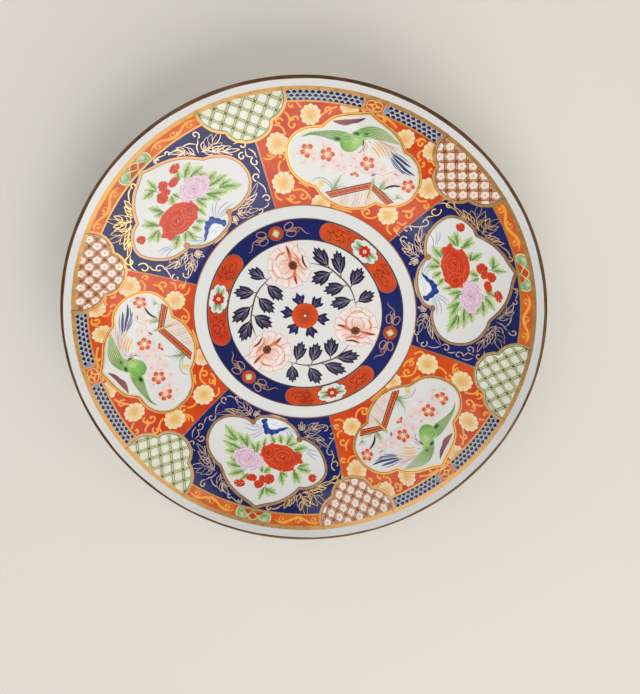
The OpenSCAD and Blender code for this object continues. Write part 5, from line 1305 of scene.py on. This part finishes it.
# film name: (material, record slot, CAD node it stands for)
LOOK = {
    "outer_gilt_line": (M_GOLD, "gilding", "outer_gilt_line"),
    "inner_gilt_line": (M_GOLD, "gilding", "inner_gilt_line"),
    "orange_border_segments": (M_RED, "orange_enamel", "orange_border_segments"),
    "orange_border_vines": (M_ENAMEL, "yellow_enamel", None),
    "green_border_medallions": (M_ENAMEL, "green_enamel", "green_border_medallions"),
    "border_medallion_gilding": (M_ENAMEL, "gilding", None),
    "scale_border_segments": (M_ENAMEL, "slate_enamel", "scale_border_segments"),
    "scale_pattern_lines": (M_ENAMEL, "slate_enamel", None),
    "scale_pattern_dots": (M_NAVY, "navy", None),
    "scale_border_motifs": (M_RED, "orange_enamel", "scale_border_motifs"),
    "green_brocade_lappets": (M_ENAMEL, "cream_enamel", "green_brocade_lappets"),
    "red_brocade_lappets": (M_ENAMEL, "blush_enamel", "red_brocade_lappets"),
    "green_brocade_lattice": (M_ENAMEL, "green_enamel", None),
    "red_brocade_lattice": (M_ENAMEL, "orange_enamel", None),
    "brocade_blooms": (M_ENAMEL, "cream_enamel", None),
    "brocade_centres": (M_ENAMEL, "orange_enamel", None),
    "lappet_gilt_frames": (M_GOLD, "gilding", "lappet_gilt_frames"),
    "cobalt_panels": (M_COBALT, "cobalt", "cobalt_panels"),
    "cobalt_panel_scrollwork": (M_GOLD, "gilding", "cobalt_panel_scrollwork"),
    "cobalt_panel_scrollwork_ground": (M_COBALT, "cobalt", None),
    "panel_gilt_dividers": (M_GOLD, "gilding", "panel_gilt_dividers"),
    "iron_red_panels": (M_RED, "iron_red", "iron_red_panels"),
    "red_panel_chrysanthemums": (M_ENAMEL, "cream_enamel", "red_panel_chrysanthemums"),
    "red_panel_vines": (M_ENAMEL, "yellow_enamel", "red_panel_vines"),
    "peony_cartouche_frames": (M_GOLD, "gilding", "peony_cartouche_frames"),
    "bird_cartouche_frames": (M_GOLD, "gilding", "bird_cartouche_frames"),
    "red_peonies": (M_ENAMEL, "iron_red", "red_peonies"),
    "lilac_peonies": (M_ENAMEL, "lilac_enamel", "lilac_peonies"),
    "peony_leaves": (M_ENAMEL, "leaf_enamel", "peony_leaves"),
    "garden_rocks": (M_COBALT, "blue_enamel", "garden_rocks"),
    "blue_grasses": (M_ENAMEL, "blue_enamel", None),
    "green_birds": (M_ENAMEL, "leaf_enamel", "green_birds"),
    "bird_linework": (M_ENAMEL, "outline_brown", None),
    "bird_tail_feathers": (M_ENAMEL, "yellow_enamel", "bird_tail_feathers"),
    "blossom_washes": (M_ENAMEL, "blush_enamel", None),
    "plum_blossoms": (M_ENAMEL, "iron_red", "plum_blossoms"),
    "garden_grasses": (M_ENAMEL, "leaf_enamel", None),
    "garden_fences": (M_ENAMEL, "iron_red", "garden_fences"),
    "fence_pattern": (M_ENAMEL, "yellow_enamel", None),
    "ring_edge_lines": (M_ENAMEL, "outline_brown", "ring_edge_lines"),
    "ring_cobalt_band": (M_COBALT, "cobalt", "ring_cobalt_band"),
    "ring_red_segments": (M_RED, "iron_red", "ring_red_segments"),
    "ring_flower_leaves": (M_ENAMEL, "leaf_enamel", "ring_flower_leaves"),
    "ring_flowers": (M_ENAMEL, "iron_red", "ring_flowers"),
    "ring_knots": (M_ENAMEL, "orange_enamel", "ring_knots"),
    "ring_gilding": (M_GOLD, "gilding", None),
    "centre_peonies": (M_ENAMEL, "blush_enamel", "centre_peonies"),
    "centre_peony_linework": (M_ENAMEL, "orange_enamel", None),
    "centre_stems": (M_ENAMEL, "gilding", "centre_stems"),
    "centre_leaf_sprays": (M_NAVY, "navy", "centre_leaf_sprays"),
    "centre_leaf_veins": (M_ENAMEL, "gilding", None),
    "centre_rosette": (M_RED, "iron_red", "centre_rosette"),
    "rosette_leaves": (M_NAVY, "navy", "rosette_leaves"),
}
for name, F in FILMS.items():
    m, slot, node = LOOK[name]
    o = make(name + "_film", np.concatenate(F.v), F.f, np.concatenate(F.c), m)
    if node:
        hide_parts(node)

# ================================================================== porcelain, glaze and gold lip
W_C, W_L, G = 4.5, 2.4, 0.25
FOOT_O, FOOT_I, BARE = 75.0, 71.6, 0.8
LIP_R = W_L / 2
FACE_END = R - 2.0


def slope(r):
    return math.atan(float(dz(r)))


def wall(r):
    return W_C + (W_L - W_C) * (r / R) ** 1.6 + 0.7 * math.exp(-((r - FOOT_O) / 14) ** 2)


def face_pt(r, d):
    a = slope(r)
    return (r - d * math.sin(a), float(zf(r)) + d * math.cos(a))


def under_pt(r, d):
    return face_pt(r, d - wall(r))


LC = face_pt(FACE_END, -LIP_R)
LA = math.degrees(slope(FACE_END))


def lip_pt(a, d):
    a = math.radians(a)
    return (LC[0] + (LIP_R - d) * math.cos(a), LC[1] + (LIP_R - d) * math.sin(a))


def smooth_run(P, n):
    return [tuple(p) for p in run(P, n)]


def outer_run(d):
    p = [face_pt(r, -d) for r in np.concatenate([np.arange(3, 120, 3.0), np.arange(120, 128, 1.0), [FACE_END]])]
    p += [lip_pt(90 + LA - i * 7.5, d) for i in range(1, 24)]
    p += [under_pt(r, d) for r in np.concatenate([[FACE_END], np.arange(126, 84, -3.0)])]
    p += smooth_run([under_pt(84, d), under_pt(81, d), (FOOT_O + 3.3 - 0.8 * d, 6.9 + 0.7 * d), (FOOT_O + 1.9 - d, 4.6), (FOOT_O + 1.1 - d, 2.6), (FOOT_O + 0.6 - d, BARE)], 4)
    return p


def inner_run(d):
    p = smooth_run([(FOOT_I - 0.7 + d, BARE), (FOOT_I - 1.2 + d, 2.4), (FOOT_I - 2.2 + 0.9 * d, 4.6 + 0.4 * d), (FOOT_I - 4.6 + 0.5 * d, 6.6 + 0.7 * d), under_pt(FOOT_I - 8.5, d), under_pt(58, d)], 4)
    return p + [under_pt(r, d) for r in np.arange(55, 2, -4.0)]


def lathe(name, loop, m, col, axis_first=None, axis_last=None, seg=288):
    """a closed solid of revolution. loop is the section; a section that meets the axis starts and ends there."""
    t = np.linspace(0, 2 * math.pi, seg, endpoint=False)
    L_ = np.array(loop)
    n = len(L_)
    V = np.concatenate([np.stack([r * np.cos(t), r * np.sin(t), np.full(seg, z)], 1) for r, z in L_]) * MM
    f = []
    on_axis = axis_first is not None
    last = n - 1 if on_axis else n
    for i in range(last):
        j = (i + 1) % n
        for k in range(seg):
            q = (k + 1) % seg
            f.append((i * seg + k, i * seg + q, j * seg + q, j * seg + k))
    if on_axis:
        V = np.vstack([V, [[0, 0, axis_first * MM], [0, 0, axis_last * MM]]])
        a, b = n * seg, n * seg + 1
        for k in range(seg):
            q = (k + 1) % seg
            f.append((a, q, k))
            f.append((b, (n - 1) * seg + k, (n - 1) * seg + q))
    o = make(name, V, f, np.broadcast_to(np.asarray(col, float), (len(V), 3)), m, smooth=True)
    import bmesh
    bm = bmesh.new()
    bm.from_mesh(o.data)
    bmesh.ops.recalc_face_normals(bm, faces=bm.faces)
    bm.to_mesh(o.data)
    bm.free()
    return o


M_GLAZE = mat("porcelain_glaze", rough=0.06, noise=0.012, scale=40, bump=0.015)
M_BISQUE = mat("bare_porcelain", rough=0.62, noise=0.05, scale=700, bump=0.05, spec=0.3)
GLAZE = lin((226, 227, 225))
oo, oi = outer_run(0.0), outer_run(G)
o = lathe("glaze_face_and_back", oo + oi[::-1], M_GLAZE, GLAZE, float(zf(0)), float(zf(0)) - G)
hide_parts("glaze_coat")
io, ii = inner_run(0.0), inner_run(G)
o = lathe("glaze_foot_recess", io + ii[::-1], M_GLAZE, GLAZE, float(under_pt(0.02, 0)[1]), float(under_pt(0.02, G)[1]))
foot = smooth_run([(FOOT_O + 0.6 - G, BARE), (FOOT_O + 0.2 - G, 0.28), (FOOT_O - 0.5, 0.0)], 4) + [(FOOT_I + 0.5, 0.0)] + smooth_run([(FOOT_I + 0.5, 0.0), (FOOT_I - 0.3 + G, 0.28), (FOOT_I - 0.7 + G, BARE)], 4)
e_ = 0.003
o = lathe("porcelain_body_bisque", outer_run(G + e_)[:-1] + foot + inner_run(G + e_)[1:], M_BISQUE, lin((214, 206, 194)), float(zf(0)) - G - e_, float(under_pt(0.02, G)[1]) + e_)
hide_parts("porcelain_body")

# the gold lip: a brushed line over the edge, its borders slightly uneven
seg = 720
V, f = [], []
wob = lambda t, a, b, c: a * math.sin(7 * t + b) + 0.6 * a * math.sin(19 * t + c) + 0.4 * a * math.sin(43 * t + 2 * b)
nb = 14
for k in range(seg):
    t = 2 * math.pi * k / seg
    hi_, lo_ = 119 + wob(t, 5, 0.7, 2.1), 22 + wob(t, 4, 1.9, 0.4)
    for i in range(nb):
        a = hi_ + (lo_ - hi_) * i / (nb - 1)
        r, z = lip_pt(a, -0.05)
        V.append((r * math.cos(t), r * math.sin(t), z))
    for i in range(nb):
        a = hi_ + (lo_ - hi_) * i / (nb - 1)
        r, z = lip_pt(a, 0.06)
        V.append((r * math.cos(t), r * math.sin(t), z))
m2 = 2 * nb
for k in range(seg):
    q = (k + 1) % seg
    for i in range(nb - 1):
        f.append((k * m2 + i, q * m2 + i, q * m2 + i + 1, k * m2 + i + 1))
        f.append((k * m2 + nb + i, k * m2 + nb + i + 1, q * m2 + nb + i + 1, q * m2 + nb + i))
    f.append((k * m2, k * m2 + nb, q * m2 + nb, q * m2))
    f.append((k * m2 + nb - 1, q * m2 + nb - 1, q * m2 + m2 - 1, k * m2 + m2 - 1))
V = np.array(V) * MM
o = make("rim_edge_gilding_line", V, f, np.broadcast_to(lin((96, 66, 38)), (len(V), 3)), M_EDGE, smooth=True)
import bmesh
bm = bmesh.new()
bm.from_mesh(o.data)
bmesh.ops.recalc_face_normals(bm, faces=bm.faces)
bm.to_mesh(o.data)
bm.free()
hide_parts("rim_edge_gilding")

# ================================================================== stage, light, camera
def stage_mat(name, col, rough):
    m = bpy.data.materials.new(name)
    m.use_nodes = True
    b = m.node_tree.nodes["Principled BSDF"]
    N, L = m.node_tree.nodes, m.node_tree.links
    n = N.new("ShaderNodeTexNoise")
    n.inputs["Scale"].default_value = 3.0
    tc = N.new("ShaderNodeTexCoord")
    L.new(tc.outputs["Object"], n.inputs["Vector"])
    mx = N.new("ShaderNodeMix")
    mx.data_type = "RGBA"
    mx.inputs["A"].default_value = (*col, 1)
    mx.inputs["B"].default_value = (*[c * 0.97 for c in col], 1)
    L.new(n.outputs["Fac"], mx.inputs["Factor"])
    L.new(mx.outputs["Result"], b.inputs["Base Color"])
    b.inputs["Roughness"].default_value = rough
    b.inputs["Specular IOR Level"].default_value = 0.2
    return m


me = bpy.data.meshes.new("floor")
s_ = 3.0
me.from_pydata([(-s_, -s_, 0), (s_, -s_, 0), (s_, s_, 0), (-s_, s_, 0)], [], [(0, 1, 2, 3)])
me.materials.append(stage_mat("floor_paper", tuple(lin((226, 221, 212))), 0.8))
floor = bpy.data.objects.new("floor", me)
bpy.context.scene.collection.objects.link(floor)


def area(name, loc, size, power, target=(0, 0, 0.02), col=(1, 1, 1)):
    d = bpy.data.lights.new(name, "AREA")
    d.shape = "RECTANGLE"
    d.size, d.size_y = size
    d.energy = power
    d.color = col
    o = bpy.data.objects.new(name, d)
    o.location = loc
    v = Vector(target) - Vector(loc)
    o.rotation_euler = v.to_track_quat("-Z", "Y").to_euler()
    bpy.context.scene.collection.objects.link(o)
    return o


area("key", (0.55, -1.5, 1.5), (2.2, 2.2), 34.0, col=(1.0, 0.985, 0.96))
area("fill", (-1.2, 1.1, 1.6), (2.2, 2.2), 18.5, col=(0.98, 0.985, 1.0))
area("side", (1.5, 0.5, 1.2), (1.6, 1.6), 8.5, col=(1.0, 0.96, 0.9))
w = bpy.data.worlds.new("studio")
bpy.context.scene.world = w
w.use_nodes = True
bg = w.node_tree.nodes["Background"]
bg.inputs["Color"].default_value = (1.0, 0.985, 0.96, 1)
bg.inputs["Strength"].default_value = 0.33

# the camera: the plate lies flat, seen at the photograph's angle to its face
D_, S_ = 3.0846, 242.94137 / R          # distance in plate radii; pixels per mm at the rim plane
FPX = 242.94137 * D_
aa, bb = 0.3416276, 0.0054995
Rx = Matrix(((1, 0, 0), (0, math.cos(aa), -math.sin(aa)), (0, math.sin(aa), math.cos(aa))))
Ry = Matrix(((math.cos(bb), 0, math.sin(bb)), (0, 1, 0), (-math.sin(bb), 0, math.cos(bb))))
Mr = Ry @ Rx
u0, v0 = 304.314, 332.8813
pos = Mr.transposed() @ Vector((-D_ * (u0 - 320) / FPX, D_ * (v0 - 347) / FPX, D_))
cam_d = bpy.data.cameras.new("camera")
cam = bpy.data.objects.new("camera", cam_d)
bpy.context.scene.collection.objects.link(cam)
cam.matrix_world = Matrix.Translation(pos * R * MM + Vector((0, 0, 0.0400))) @ Mr.transposed().to_4x4()
cam_d.sensor_fit = "VERTICAL"
cam_d.sensor_height = 24.0
cam_d.lens = FPX / 694.0 * 24.0
cam_d.clip_start = 0.01
bpy.context.scene.camera = cam
bpy.context.scene.view_settings.view_transform = "Standard"
